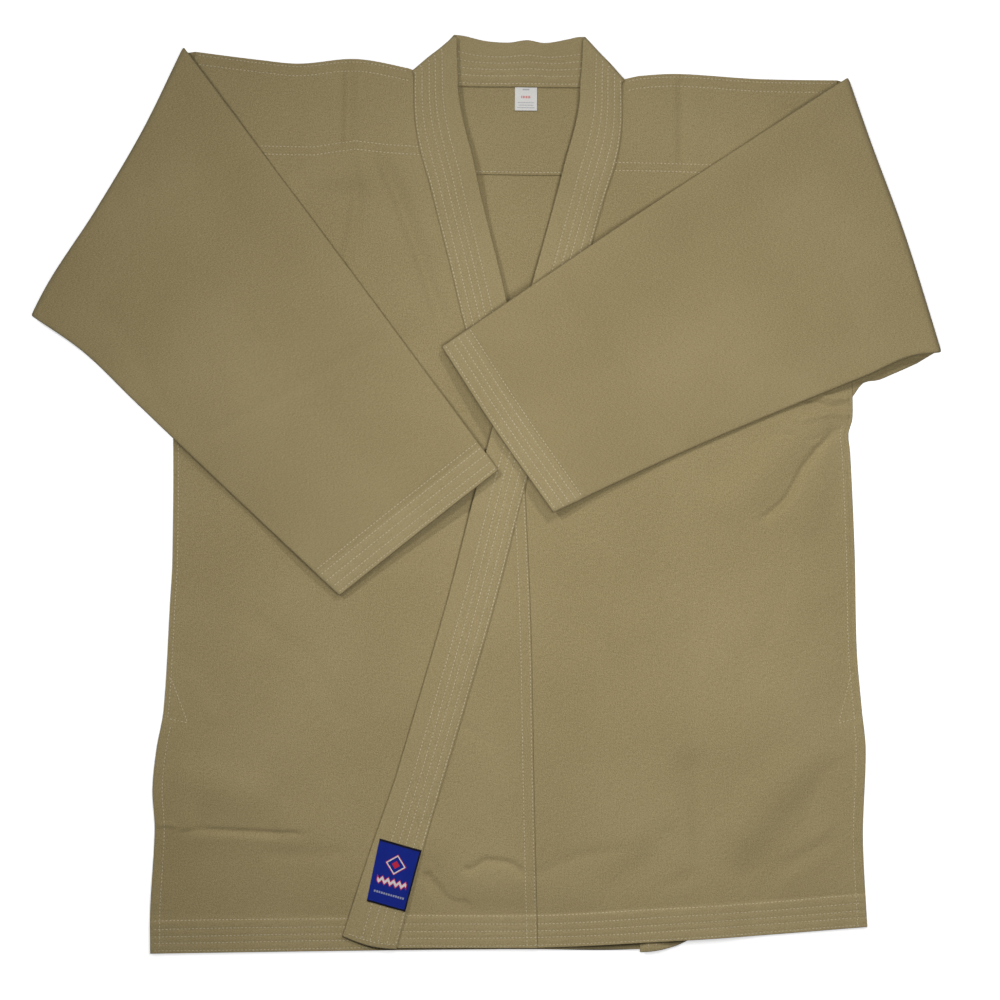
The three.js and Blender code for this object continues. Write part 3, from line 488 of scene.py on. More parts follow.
def canvas(name, worn=None, cloud=1.0):
    """The canvas; where it is sewn through many times it is paler, by a number or worn(x, y)."""
    cloth = Finish(name)
    uv, x, y = cloth.cloth_measures()
    wander = (cloth.noise(uv, (130, 130)) - 0.5) * 3.0
    turn = 2 * np.pi / THREAD_PITCH
    warp, weft = (x * turn + wander).sine(), (y * turn + wander).sine()
    weave = warp * weft * 0.5 + 0.5
    slub_up, slub_across = cloth.noise(uv, (1300, 160)), cloth.noise(uv, (130, 1300))
    twill = cloth.noise(uv, (1400, 420), 2.0, 0.5, turn=0.65)
    nap = cloth.noise(uv, (1050, 1050), 3.0, 0.7)
    clouds = cloth.noise(uv, (7, 7), 3.0, 0.55)
    share = (0.5 + (slub_up - 0.5) * 0.25 + (slub_across - 0.5) * 0.35 + (twill - 0.5) * 0.9
             + (nap - 0.5) * 1.8 + (clouds - 0.5) * (0.4 * cloud) + (weave - 0.5) * 0.25).clamped()
    if worn is not None:
        share = (share + (worn(x, y) if callable(worn) else worn)).clamped()
    colour = cloth.blend((share * 2.0 - 1.0).clamped(),
                         cloth.blend((share * 2.0).clamped(), KHAKI_DEEP, KHAKI), KHAKI_PALE)
    height = weave * 0.45 + (slub_up + slub_across) * 0.15 + nap * 0.35 + twill * 0.35
    return cloth.surface(colour, 0.86 + (nap - 0.5) * 0.16, height, 0.00022,
                         Sheen_Weight=0.05, Sheen_Roughness=0.6, Specular_IOR_Level=0.15)


CANVAS, CANVAS_BAND = canvas("canvas"), canvas("canvas_band", 0.12)
CANVAS_HEM_RIGHT = canvas("canvas_hem_right", lambda x, y: (y < 0.0315) * 0.08)
CANVAS_HEM_LEFT = canvas("canvas_hem_left", lambda x, y: (
    y - (x - 0.024).maths("MAXIMUM", 0.0) * 0.063 < 0.0325) * 0.12)
print("canvas:", len(CANVAS.node_tree.nodes), "nodes")

# %% The thread of the stitches
def thread_finish():
    thread = Finish("cream_thread")
    place = thread.node("ShaderNodeTexCoord", None, None, 3)
    twist = thread.node("ShaderNodeTexNoise", None, {"Vector": place, "Scale": 900.0, "Detail": 1.0})
    worn = thread.node("ShaderNodeTexNoise", None, {"Vector": place, "Scale": 35.0, "Detail": 1.0})
    colour = thread.blend((twist * 0.6 + worn * 0.7 - 0.15).clamped(), (0.42, 0.36, 0.23),
                          (0.64, 0.57, 0.41))
    return thread.surface(colour, 0.6 + twist * 0.2, twist, 0.0001, Sheen_Weight=0.1)


THREAD = thread_finish()

# %% [markdown]
# ## Rows of stitches
# Every stitch is a short pale bead of thread, about 2.3 mm long, that sits in a little groove. One small ico
# sphere, stretched along the seam, is enough for each, because there are thousands. The row's path is
# walked in steps of one stitch, and each bead is turned to the way the seam runs.

# %% Helper: sew rows of stitches and join them into one piece
STITCH_STEP = 3.4
STITCH_SIZE, FINE_STITCH = (1.2, 0.46, 0.33), (1.15, 0.40, 0.30)  # half of each side


def walk(path, step, start=0.0):
    """Places one step apart along a path, and the way that it runs there."""
    path = np.asarray(path, float)
    length = np.concatenate([[0], np.cumsum(np.linalg.norm(np.diff(path, axis=0), axis=1))])
    at = np.arange(step / 2 + start, length[-1] - step / 3, step)
    spots = np.stack([np.interp(at, length, path[:, k]) for k in range(3)], axis=1)
    ahead = np.stack([np.interp(at + 0.7, length, path[:, k]) for k in range(3)], axis=1)
    behind = np.stack([np.interp(at - 0.7, length, path[:, k]) for k in range(3)], axis=1)
    return spots, ahead - behind


def sew(name, rows, size=STITCH_SIZE, step=STITCH_STEP):
    bm = bmesh.new()
    joined = bpy.data.meshes.new(name)
    count = 0
    for row in rows:
        single = bmesh.new()
        for spot, run in zip(*walk(row, step)):
            run = Vector(run).normalized()
            side = Vector((0, 0, 1)).cross(run).normalized()
            lie = Matrix((run, side, run.cross(side))).transposed().to_4x4()
            where = (Vector(spot) + Vector((*PATTERN_TO_FRAME, 0.08))) * MM
            shape = Matrix.Diagonal((*(s * MM for s in size), 1))
            bmesh.ops.create_icosphere(single, subdivisions=1, radius=1,
                                       matrix=Matrix.Translation(where) @ lie @ shape)
            count += 1
        single.to_mesh(joined)
        single.free()
        bm.from_mesh(joined)
    bm.to_mesh(joined)
    bm.free()
    joined.shade_smooth()
    joined.materials.append(THREAD)
    piece = bpy.data.objects.new(name, joined)
    bpy.context.scene.collection.objects.link(piece)
    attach(piece, "root")
    print(f"{name}: {count} stitches")
    return piece


def quilt(distance, rows, depth=0.3, half=0.95):
    """The grooves that rows of stitches pull into the cloth."""
    return -depth * sum(np.exp(-((distance - row) / half) ** 2) for row in rows)


# %% [markdown]
# ## The back and the yoke
# The back is one wide panel that lies on the ground, and most of it is hidden. Inside the neck opening
# shows the yoke, a second layer across the shoulders, with one row of stitches along its lower edge.
# The underside has the rows of the hem and of the yoke, which go through both.

# %% Back panel
HEM_ROWS = [2.3, 9.3, 15.3, 21.9, 29.4]
YOKE_ROWS = [700.4, 707.6]
NECK_FROM, NECK_TO = NECKLINE[0][0], NECKLINE[-1][0]


def body_cloth(over_hem):
    return CLOTH + HEM_EXTRA * (1 - ease(HEM_BAND - HEM_STEP, HEM_BAND, over_hem))


def back_top(x):
    inward = np.minimum(x - NECK_FROM, NECK_TO - x)
    inside = neckline(x) + SEAM_ALLOWANCE * ease(0, 2 * SEAM_ALLOWANCE, inward)
    return np.where(x < NECK_FROM, shoulder_right(x), np.where(x > NECK_TO, shoulder_left(x), inside))


def edge_up(side, low, high):
    return lambda v: side(mix(low, high, v)) + 1j * mix(low, high, v)


def edge_across(curve, low, high):
    return lambda u: mix(low, high, u) + 1j * curve(mix(low, high, u))


back_plan = patch(
    edge_up(body_right, SIDE_RIGHT[0][0], SHOULDER_END_RIGHT.imag),
    edge_up(body_left, SIDE_LEFT[0][0], SHOULDER_END_LEFT.imag),
    edge_across(hem_back, SIDE_RIGHT[0][1], SIDE_LEFT[0][1]),
    edge_across(back_top, SHOULDER_END_RIGHT.real, SHOULDER_END_LEFT.real),
)
us, vs = np.meshgrid(spread(640, 6.5, 0.9), spread(810, 7.5, 0.9, [(0, 32), (698, 714)]))
plan = back_plan(us, vs)
over_hem = plan.imag - hem_back(plan.real)
in_neck = (1 - ease(80, 120, abs(plan.real - 6))) * ease(500, 560, plan.imag)
back_height = body_cloth(over_hem) + 0.12 * drift(1.7 * plan.real, 1.3 * plan.imag) * in_neck
below = -quilt(over_hem, HEM_ROWS) - quilt(plan.imag, YOKE_ROWS) * (abs(plan.real) < YOKE_HALF)
back = shell("back_cloth", raised(plan, back_height), raised(plan, below),
             np.stack([plan.real, plan.imag], -1), 0.9, CANVAS)
x = np.arange(-322, 319, 2.0)
sew("stitches_back", [raised(x + 1j * (hem_back(x) + row), 0 * x + 0.2) for row in HEM_ROWS]
    + [raised(x[abs(x) < 224] + 1j * row, 0 * x[abs(x) < 224] + 0.2) for row in YOKE_ROWS], FINE_STITCH)

# %% Yoke
def yoke_top_height(x, up):
    return 2 * CLOTH + GAP + 0.25 * quilt(up - YOKE_EDGE, [2.4], 1.0)


us, vs = np.meshgrid(spread(2 * YOKE_HALF, 4, 0.6), spread(85, 4, 0.6, [(0, 6)]))
x = mix(-YOKE_HALF, YOKE_HALF, us)
plan = x + 1j * mix(YOKE_EDGE - 0.5 * np.sin((x + 4) / 24), back_top(x) - YOKE_INSET, vs)
yoke = shell("yoke_cloth", raised(plan, yoke_top_height(plan.real, plan.imag)),
             raised(plan, 0 * x + CLOTH + GAP), np.stack([plan.real, plan.imag], -1), 0.6, CANVAS)
x = np.arange(-84, 92, 2.0)
sew("stitches_yoke", [raised(x + 1j * (YOKE_EDGE + 2.4 - 0.5 * np.sin((x + 4) / 24)),
                             0 * x + 2 * CLOTH + GAP)])

# %% [markdown]
# ## The two fronts and their wedges
# Each front is cut nearly straight, and a tall wedge sewn to its edge makes the overlap. The hem is
# turned up and held by five rows of stitches, the shoulder by two, and a doubled layer behind the chest
# shows as two rows across. The rows pull small grooves and the cloth ripples between them.

# %% Helper: a front panel's place and surface
def front_shape(inward, side, body, side_seam, shoulder_end, shoulder, inner_top, lapel, wedge, hem, height):
    def raw_edge(up):
        return lapel(up) + inward * SEAM_ALLOWANCE * ALONG

    def front_edge(up):
        return np.where(up < WEDGE_TOP, wedge(up), raw_edge(up))

    low_side = body(hem(side)) + 1j * hem(side)
    low_front = wedge(0) + 1j * hem(wedge(0))

    def start(v):
        up = mix(low_side.imag, shoulder_end.imag, v)
        return body(up) + 1j * up

    def end(v):
        up = mix(low_front.imag, inner_top.imag, v)
        return mix(front_edge(up), inner_top.real, ease(0.985, 1, v)) + 1j * up

    def low(u):
        x = mix(low_side.real, low_front.real, u)
        return x + 1j * hem(x)

    def high(u):
        x = mix(shoulder_end.real, inner_top.real, u)
        return x + 1j * shoulder(x)

    def top(x, up):
        over_hem = up - hem(x)
        from_side = abs(x - body(up))
        from_shoulder = shoulder(x) - up
        in_hem = ease(-2, 2, over_hem) * (1 - ease(26, 31, over_hem))
        ripple = in_hem * (0.16 * np.sin(x / 2.9 + 1.4 * np.sin(x / 37)) + 0.12 * np.sin(x / 7.3))
        vent = 0.4 * (1 - ease(8, 9.8, from_side)) * (1 - ease(204, 210, up))
        ripple = ripple + 0.1 * (1 - ease(9, 14, from_side)) * np.sin(up / 3.1 + np.sin(up / 41))
        seams = quilt(over_hem, HEM_ROWS) + quilt(from_shoulder, [2.8, 11]) * (from_shoulder > 0)
        seams = seams + quilt(from_side, [side_seam], 0.5, 0.8) * ease(206, 212, up)
        return height(x, up) + body_cloth(over_hem) + vent + ripple + seams

    plan = patch(start, end, low, high)
    return plan, raw_edge, top


right_plan, right_raw, right_top = front_shape(
    1, SIDE_RIGHT[0][1], body_right, 1.6, SHOULDER_END_RIGHT, shoulder_right,
    -86.5 + 791j, lapel_right, wedge_right, hem_under, lower_front)
left_plan, left_raw, left_top = front_shape(
    -1, SIDE_LEFT[0][1], body_left, 2.8, SHOULDER_END_LEFT, shoulder_left,
    99 + 782.8j, lapel_left, wedge_left, hem_upper, upper_front)

# %% The yoke's double rows, as they show on the outside of each front
ROWS_RIGHT = [[(-226, 723.6), (-178, 722.6), (-140.4, 728.1), (-112, 724.6), (-77, 722.6)],
              [(-226, 716.4), (-178, 715.4), (-140.4, 720.6), (-112, 717.4), (-77, 715.4)]]
ROWS_LEFT = [[(86, 708.6), (130, 708), (184.5, 706.5), (226, 705)],
             [(86, 701.4), (130, 701), (184.5, 699.3), (226, 698)]]
PATCH_RIGHT = [(-308.0, 246), (-304.2, 239.4), (-291.2, 204.3), (-311.4, 208.8)]
PATCH_LEFT = [(309.0, 250), (306, 246.1), (295.2, 203.8), (314.1, 209.7)]


def line_grooves(lines, x, up, depth=0.25):
    return sum(-depth * np.exp(-(from_line(x, up, line)[0] / 0.95) ** 2) for line in lines)


def right_surface(x, up):
    return right_top(x, up) + line_grooves([*ROWS_RIGHT, PATCH_RIGHT], x, up)


def left_surface(x, up):
    fell = 0.55 * ease(-12.5, -10.5, x - wedge_left(up)) * (1 - ease(-1.6, 0.4, x - wedge_left(up)))
    return left_top(x, up) + line_grooves([*ROWS_LEFT, PATCH_LEFT], x, up) + fell * (up < WEDGE_TOP)


# %% Front panels
def front_piece(name, plan_of, surface, height, width, columns, rows, finish):
    length = 800
    us, vs = np.meshgrid(spread(width, 3.6, 0.7, [(0, 13), *columns]),
                         spread(length, 3.6, 0.7, [(0, 33), *rows]))
    plan = plan_of(us, vs)
    x, up = plan.real, plan.imag
    return shell(name, raised(plan, surface(x, up)), raised(plan, height(x, up)),
                 np.stack([x, up], -1), 0.7, finish)


front_right = front_piece("front_right_cloth", right_plan, right_surface, lower_front, 312,
                          [(13, 140, 2.5)], [(98, 118, 1.3), (118, 158, 2.3), (713, 731), (786, 800)],
                          CANVAS_HEM_RIGHT)
front_left = front_piece("front_left_cloth", left_plan, left_surface, upper_front, 300,
                         [(13, 98, 1.9)], [(382, 512, 1.7), (700, 716), (786, 800)], CANVAS_HEM_LEFT)

# %% Wedges of the overlap
def wedge_piece(name, inward, wedge, raw_edge, low_up, surface, height):
    us, vs = np.meshgrid(spread(110, 1.9, 0.6), spread(WEDGE_TIP, 3.4, 0.6, [(0, 33), (33, 105, 1.5)]))
    up = mix(low_up, WEDGE_TIP, vs)
    plan = mix(wedge(up) + inward * 0.05, raw_edge(up), us) + 1j * up
    x = plan.real
    return shell(name, raised(plan, surface(x, up)), raised(plan, height(x, up)),
                 np.stack([x, up], -1), 0.6, CANVAS_HEM_LEFT)


overlap_right = wedge_piece("overlap_right_cloth", 1, wedge_right, right_raw,
                            float(hem_under(lapel_right(0))), right_surface, lower_front)
overlap_left = wedge_piece("overlap_left_cloth", -1, wedge_left, left_raw,
                           float(hem_upper(lapel_left(0))), left_surface, upper_front)

# %% Stitches of the fronts
def on_surface(surface, x, up):
    return raised(x + 1j * up, surface(x, up))


def hem_rows(surface, hem, x_from, x_to):
    x = np.arange(x_from, x_to, 2.0)
    wobble = [0.25 * np.sin(x / 31 + i) for i in range(len(HEM_ROWS))]
    return [on_surface(surface, x, hem(x) + row + w) for row, w in zip(HEM_ROWS, wobble)]


def table_row(surface, table, pitch=2.0):
    path = np.array([complex(*p) for p in table])
    length = np.concatenate([[0], np.cumsum(abs(np.diff(path)))])
    at = np.arange(0, length[-1], pitch)
    x, up = np.interp(at, length, path.real), np.interp(at, length, path.imag)
    return on_surface(surface, x, up)


def side_rows(surface, body, insets, low, high):
    up = np.arange(low, high, 2.0)
    return [on_surface(surface, body(up) + inset, up) for inset in insets]


sew("stitches_front_right",
    hem_rows(right_surface, hem_under, -322, -60)
    + side_rows(right_surface, body_right, [8.8], 2, 206)
    + side_rows(right_surface, body_right, [4.6], 208, 480)
    + [table_row(right_surface, row) for row in [*ROWS_RIGHT, PATCH_RIGHT]]
    + [on_surface(right_surface, x, shoulder_right(x) - inset)
       for inset in (2.8, 11) for x in [np.arange(-282, -91, 2.0)]],
    FINE_STITCH)
sew("stitches_front_left",
    hem_rows(left_surface, hem_upper, -99, 319)
    + side_rows(left_surface, body_left, [-8.6], 22, 206)
    + side_rows(left_surface, body_left, [-7.4], 208, 474)
    + [table_row(left_surface, row) for row in [*ROWS_LEFT, PATCH_LEFT]]
    + [on_surface(left_surface, x, shoulder_left(x) - inset)
       for inset in (2.8, 11) for x in [np.arange(105, 292, 2.0)]],
    FINE_STITCH)
up = np.arange(3, 420, 2.0)
sew("stitches_overlap", [on_surface(left_surface, wedge_left(up) - inset, up) for inset in (1.7, 9.8)],
    FINE_STITCH)

# %% [markdown]
# ## The collar band
# One long band of several layers runs down the wearer's left front, behind the neck and down the right
# front. Five rows of stitches quilt it, nearer to its seam than to its free edge. At each side of the
# neck the band turns over and passes behind, so a stretch behind the neck lies face up too.

# %% Helper: a lapel with its turn at the neck
BAND_ROWS = [1.4, 7.9, 14.8, 20.7, 27.4]
COLLAR_LOW = 2 * CLOTH + 2 * GAP + 0.1
TURN_START = 0.86


def lapel_base(height, x, up, w):
    on_panel = CLOTH + BAND_GAP + hem_rise(up)
    return height(x, up) + mix(on_panel, GAP, ease(SEAM_ALLOWANCE + 2, SINK_END, w))


def band_thick(w):
    return BAND_THICK * (1 - 0.4 * (1 - ease(0, 8, w)))  # pressed thin along its seam


def band_puckers(w, run):
    """Small waves across the quilted part, strongest between two rows."""
    quilted = ease(0, 3, w) * (1 - ease(26, 31, w))
    return quilted * (0.13 * np.sin(run / 2.7 + 1.2 * np.sin(run / 23 + w / 4)) + 0.1 * np.sin(run / 6.1))


def lapel_piece(name, inward, table, lapel, flare, height, low_seam, low_free, fold_free):
    fold_seam = table[-1][1] + 1j * table[-1][0]
    w = spread(BAND_WIDTH, 1.5, 1.25, [(0, 29)]) * BAND_WIDTH
    t = spread(820, 3.0, 1.3)
    t = t[:-3]  # the turn goes on from here, so this end isn't rounded
    t = np.append(t, 1.0)
    w, t = np.meshgrid(w, t)
    share = w / BAND_WIDTH
    up = mix(mix(low_seam, low_free, share ** 2), mix(fold_seam.imag, fold_free.imag, share), t)
    straight = lapel(up) + inward * share * (BAND_WIDTH * ALONG + flare(up))
    x = mix(straight, mix(fold_seam.real, fold_free.real, share), ease(TURN_START, 1, t))
    base = lapel_base(height, x, up, w)
    under = raised(x + 1j * up, base)
    dressed = band_thick(w) + quilt(w, BAND_ROWS, 0.42, 1.0) + band_puckers(w, up) * ease(0, 0.01, t)
    over = raised(x + 1j * up, base + dressed * (1 - ease(0.98, 1, t)) + BAND_THICK * ease(0.98, 1, t))
    fold = fold_free - fold_seam
    outward = inward * 1j * fold / abs(fold)
    outward = np.array([outward.real, outward.imag, 0])
    centre_top = COLLAR_LOW + BAND_THICK
    radius = (under[-1, :, 2] - centre_top) / 2
    turns_under, turns_over = [under], [over]
    for angle in np.linspace(0, np.pi, 13)[1:]:
        for rows, thick in ((turns_under, 0.0), (turns_over, BAND_THICK)):
            reach = (radius + thick)[:, None]
            ring = under[-1] + np.sin(angle) * reach * outward
            ring[:, 2] = centre_top + radius + np.cos(angle) * reach[:, 0]
            rows.append(ring[None])
    under, over = np.concatenate(turns_under), np.concatenate(turns_over)
    run = np.concatenate([[0], np.cumsum(np.linalg.norm(np.diff(over[:, 0], axis=0), axis=1))])
    cloth_mm = np.stack([np.broadcast_to(w[0], over.shape[:2]),
                         np.repeat(run[:, None], over.shape[1], 1)], -1)
    piece = shell(name, over, under, cloth_mm, 1.25, CANVAS_BAND)
    paths = []
    for row in BAND_ROWS:
        paths.append(np.stack([[np.interp(row, w[0], line[:, k]) for line in over[4:-9]]
                               for k in range(3)], axis=1))
    return piece, paths, over, w[0]


lapel_right_band, paths_right, *_ = lapel_piece(
    "lapel_right_band", 1, LAPEL_RIGHT, lapel_right, lambda up: 0 * up, lower_front, -2, 8, -48.5 + 820.5j)
lapel_left_band, paths_left, over_left, w_left = lapel_piece(
    "lapel_left_band", -1, LAPEL_LEFT, lapel_left, flare_left, upper_front, 1, 12.6, 64.4 + 818.9j)


def across_band(over, w, row):
    """A row of stitches across a lapel's end, on the given row of its surface."""
    line = over[row]
    at = np.arange(2.0, BAND_WIDTH - 2, 1.0)
    return np.stack([np.interp(at, w, line[:, k]) for k in range(3)], axis=1)


sew("stitches_lapel_right", paths_right)
sew("stitches_lapel_left", paths_left + [across_band(over_left, w_left, 4)])

# %% The band behind the neck
us, vs = np.meshgrid(spread(155, 2.4, 1.2), spread(BAND_WIDTH, 1.5, 1.2, [(0, 31)]))
seam_x, free_x = mix(NECK_FROM, NECK_TO, us), mix(COLLAR_TOP[0][0], COLLAR_TOP[-1][0], us)
plan = mix(seam_x, free_x, vs) + 1j * mix(neckline(seam_x), collar_top(free_x), vs)
middle = (COLLAR_TOP[0][0] + COLLAR_TOP[-1][0]) / 2
to_middle = 1 - ease(10, 50, abs(plan.real - middle))
collar_under = COLLAR_LOW + 3 * to_middle * ease(782, 815, plan.imag)
w = vs * BAND_WIDTH
COLLAR_ROWS = [3.0, 10.3, 16.3, 22.3, 28.3]
collar_over = collar_under + band_thick(w) + quilt(w, COLLAR_ROWS, 0.4, 1.0) + band_puckers(w, seam_x)
collar_band = shell("collar_band", raised(plan, collar_over), raised(plan, collar_under),
                    np.stack([seam_x, w], -1), 1.2, CANVAS_BAND)
collar_paths = []
for row in COLLAR_ROWS:
    line = np.array([[np.interp(row, w[:, j], raised(plan, collar_over)[:, j, k]) for k in range(3)]
                     for j in range(6, plan.shape[1] - 6)])
    collar_paths.append(line)
sew("stitches_collar", collar_paths)

# %% [markdown]
# ## The sleeves
# A sleeve is a wide tube, pressed flat. From the armhole it runs outward on the ground, turns over at
# its fold and comes back over the front. One grid wraps twice here: round the tube, and from the
# outside at the cuff back along the inside, so the cuff is truly hollow with its hem turned in.

# %% Outlines of the folded sleeves
SLEEVE_RIGHT = {
    "armhole": [(-284.5, 808.8), (-308, 500)],
    "fold": [(-295.2, 813.5), (-332, 738), (-374.4, 666), (-420.5, 594.5), (-432.5, 571.5)],
    "upper": [(-295.2, 813.5), (-179, 658), (-11.7, 432.5)],
    "lower": [(-432.5, 571.5), (-387, 540), (-340, 495), (-269, 427), (-154.8, 319.5)],
    "cuff": [(-11.7, 432.5), (-84.5, 375.5), (-154.8, 319.5)],
    "stub_lower": [(-308, 500), (-421, 570)],
}
SLEEVE_LEFT = {
    "armhole": [(294, 783), (307.8, 498)],
    "fold": [(304, 785.7), (324.5, 726.7), (350.5, 656.5), (388.2, 538)],
    "upper": [(304, 785.7), (151, 686.5), (-61.7, 543)],
    "lower": [(388.2, 538), (363, 535), (321.5, 517.5), (252.7, 489.6), (151, 446.4), (38.7, 394)],
    "cuff": [(-61.7, 543), (-16, 472), (38.7, 394)],
    "stub_lower": [(307.8, 498), (318.5, 511), (330.5, 512.8), (342, 517.5), (380, 534.5)],
}
SLEEVE_CREASES_RIGHT = [([(-290, 452), (-162.9, 522), (-95, 562)], -1.1, 12, 8, 0.3),
                        ([(-372, 637), (-225, 721)], 1.0, 18, 14, 0.1),
                        ([(-244, 582), (-222, 542)], -0.7, 8, 8, 0.4),
                        ([(-310, 550), (-240, 610), (-192, 682)], -0.7, 18, 18, 0.1),
                        ([(-398, 600), (-352, 560), (-300, 470)], -0.7, 16, 12, 0.1)]
SLEEVE_CREASES_LEFT = [([(42, 602), (91.8, 530.1), (139.5, 460.8), (155, 440)], -1.2, 9, 13, 0.4),
                       ([(142, 648), (210.6, 571.5), (250, 509)], -1.1, 10, 14, 0.4),
                       ([(150, 680), (205, 591)], -0.8, 14, 18, 0.1),
                       ([(198, 728), (260, 614)], -0.8, 14, 18, 0.1),
                       ([(278, 662), (328, 580)], -0.8, 14, 18, 0.1),
                       ([(20, 575), (60, 500), (84, 425)], -0.6, 12, 12, 0.1)]


def route(table):
    """A chordal curve through the points, read by its share of the length."""
    p = np.array([complex(*row) for row in table])
    p = np.concatenate([[2 * p[0] - p[1]], p, [2 * p[-1] - p[-2]]])
    line = []
    for i in range(1, len(p) - 2):
        d0, d1, d2 = abs(p[i] - p[i - 1]), abs(p[i + 1] - p[i]), abs(p[i + 2] - p[i + 1])
        out = ((p[i] - p[i - 1]) / d0 - (p[i + 1] - p[i - 1]) / (d0 + d1) + (p[i + 1] - p[i]) / d1) * d1
        into = ((p[i + 1] - p[i]) / d1 - (p[i + 2] - p[i]) / (d1 + d2) + (p[i + 2] - p[i + 1]) / d2) * d1
        t = np.linspace(0, 1, 60, endpoint=i == len(p) - 3)
        line.append(p[i] + out * t + (3 * (p[i + 1] - p[i]) - 2 * out - into) * t ** 2
                    + (2 * (p[i] - p[i + 1]) + out + into) * t ** 3)
    line = np.concatenate(line)
    length = np.concatenate([[0], np.cumsum(abs(np.diff(line)))])
    length = length / length[-1]
    return lambda share: np.interp(share, length, line.real) + 1j * np.interp(share, length, line.imag)


# %% Helper: one sleeve
SLEEVE_HALF, STUB_HALF, CUFF_HEM = 2.2, CLOTH + GAP / 2, 29.5
FOLD_LIFT, LAPEL_RISE, LAPEL_RAMP, STUB_REACH = 8.8, 5.6, 95.0, 0.94
STUB_STEPS, FOLD_STEPS, LINED = 14, 14, 45  # stations; the inside follows each of the last 45
SLEEVE_WIDE, LIP_OUT, NARROWEST = 300.0, 0.8, 0.04  # one side of the tube, the cuff's edge, the armhole's gap
CORNER_UP = 44 + 400j  # the upper cuff's lower corner stands up a little


def sleeve_lift(x, up):
    seam = lapel_left(up)
    free = seam - BAND_WIDTH * ALONG
    near = ease(free - LAPEL_RAMP, free, x) * (1 - ease(seam, seam + LAPEL_RAMP, x))
    off_corner = (x - CORNER_UP.real) ** 2 + (up - CORNER_UP.imag) ** 2
    return FOLD_LIFT + LAPEL_RISE * near + 5.0 * np.exp(-off_corner / 52 ** 2)


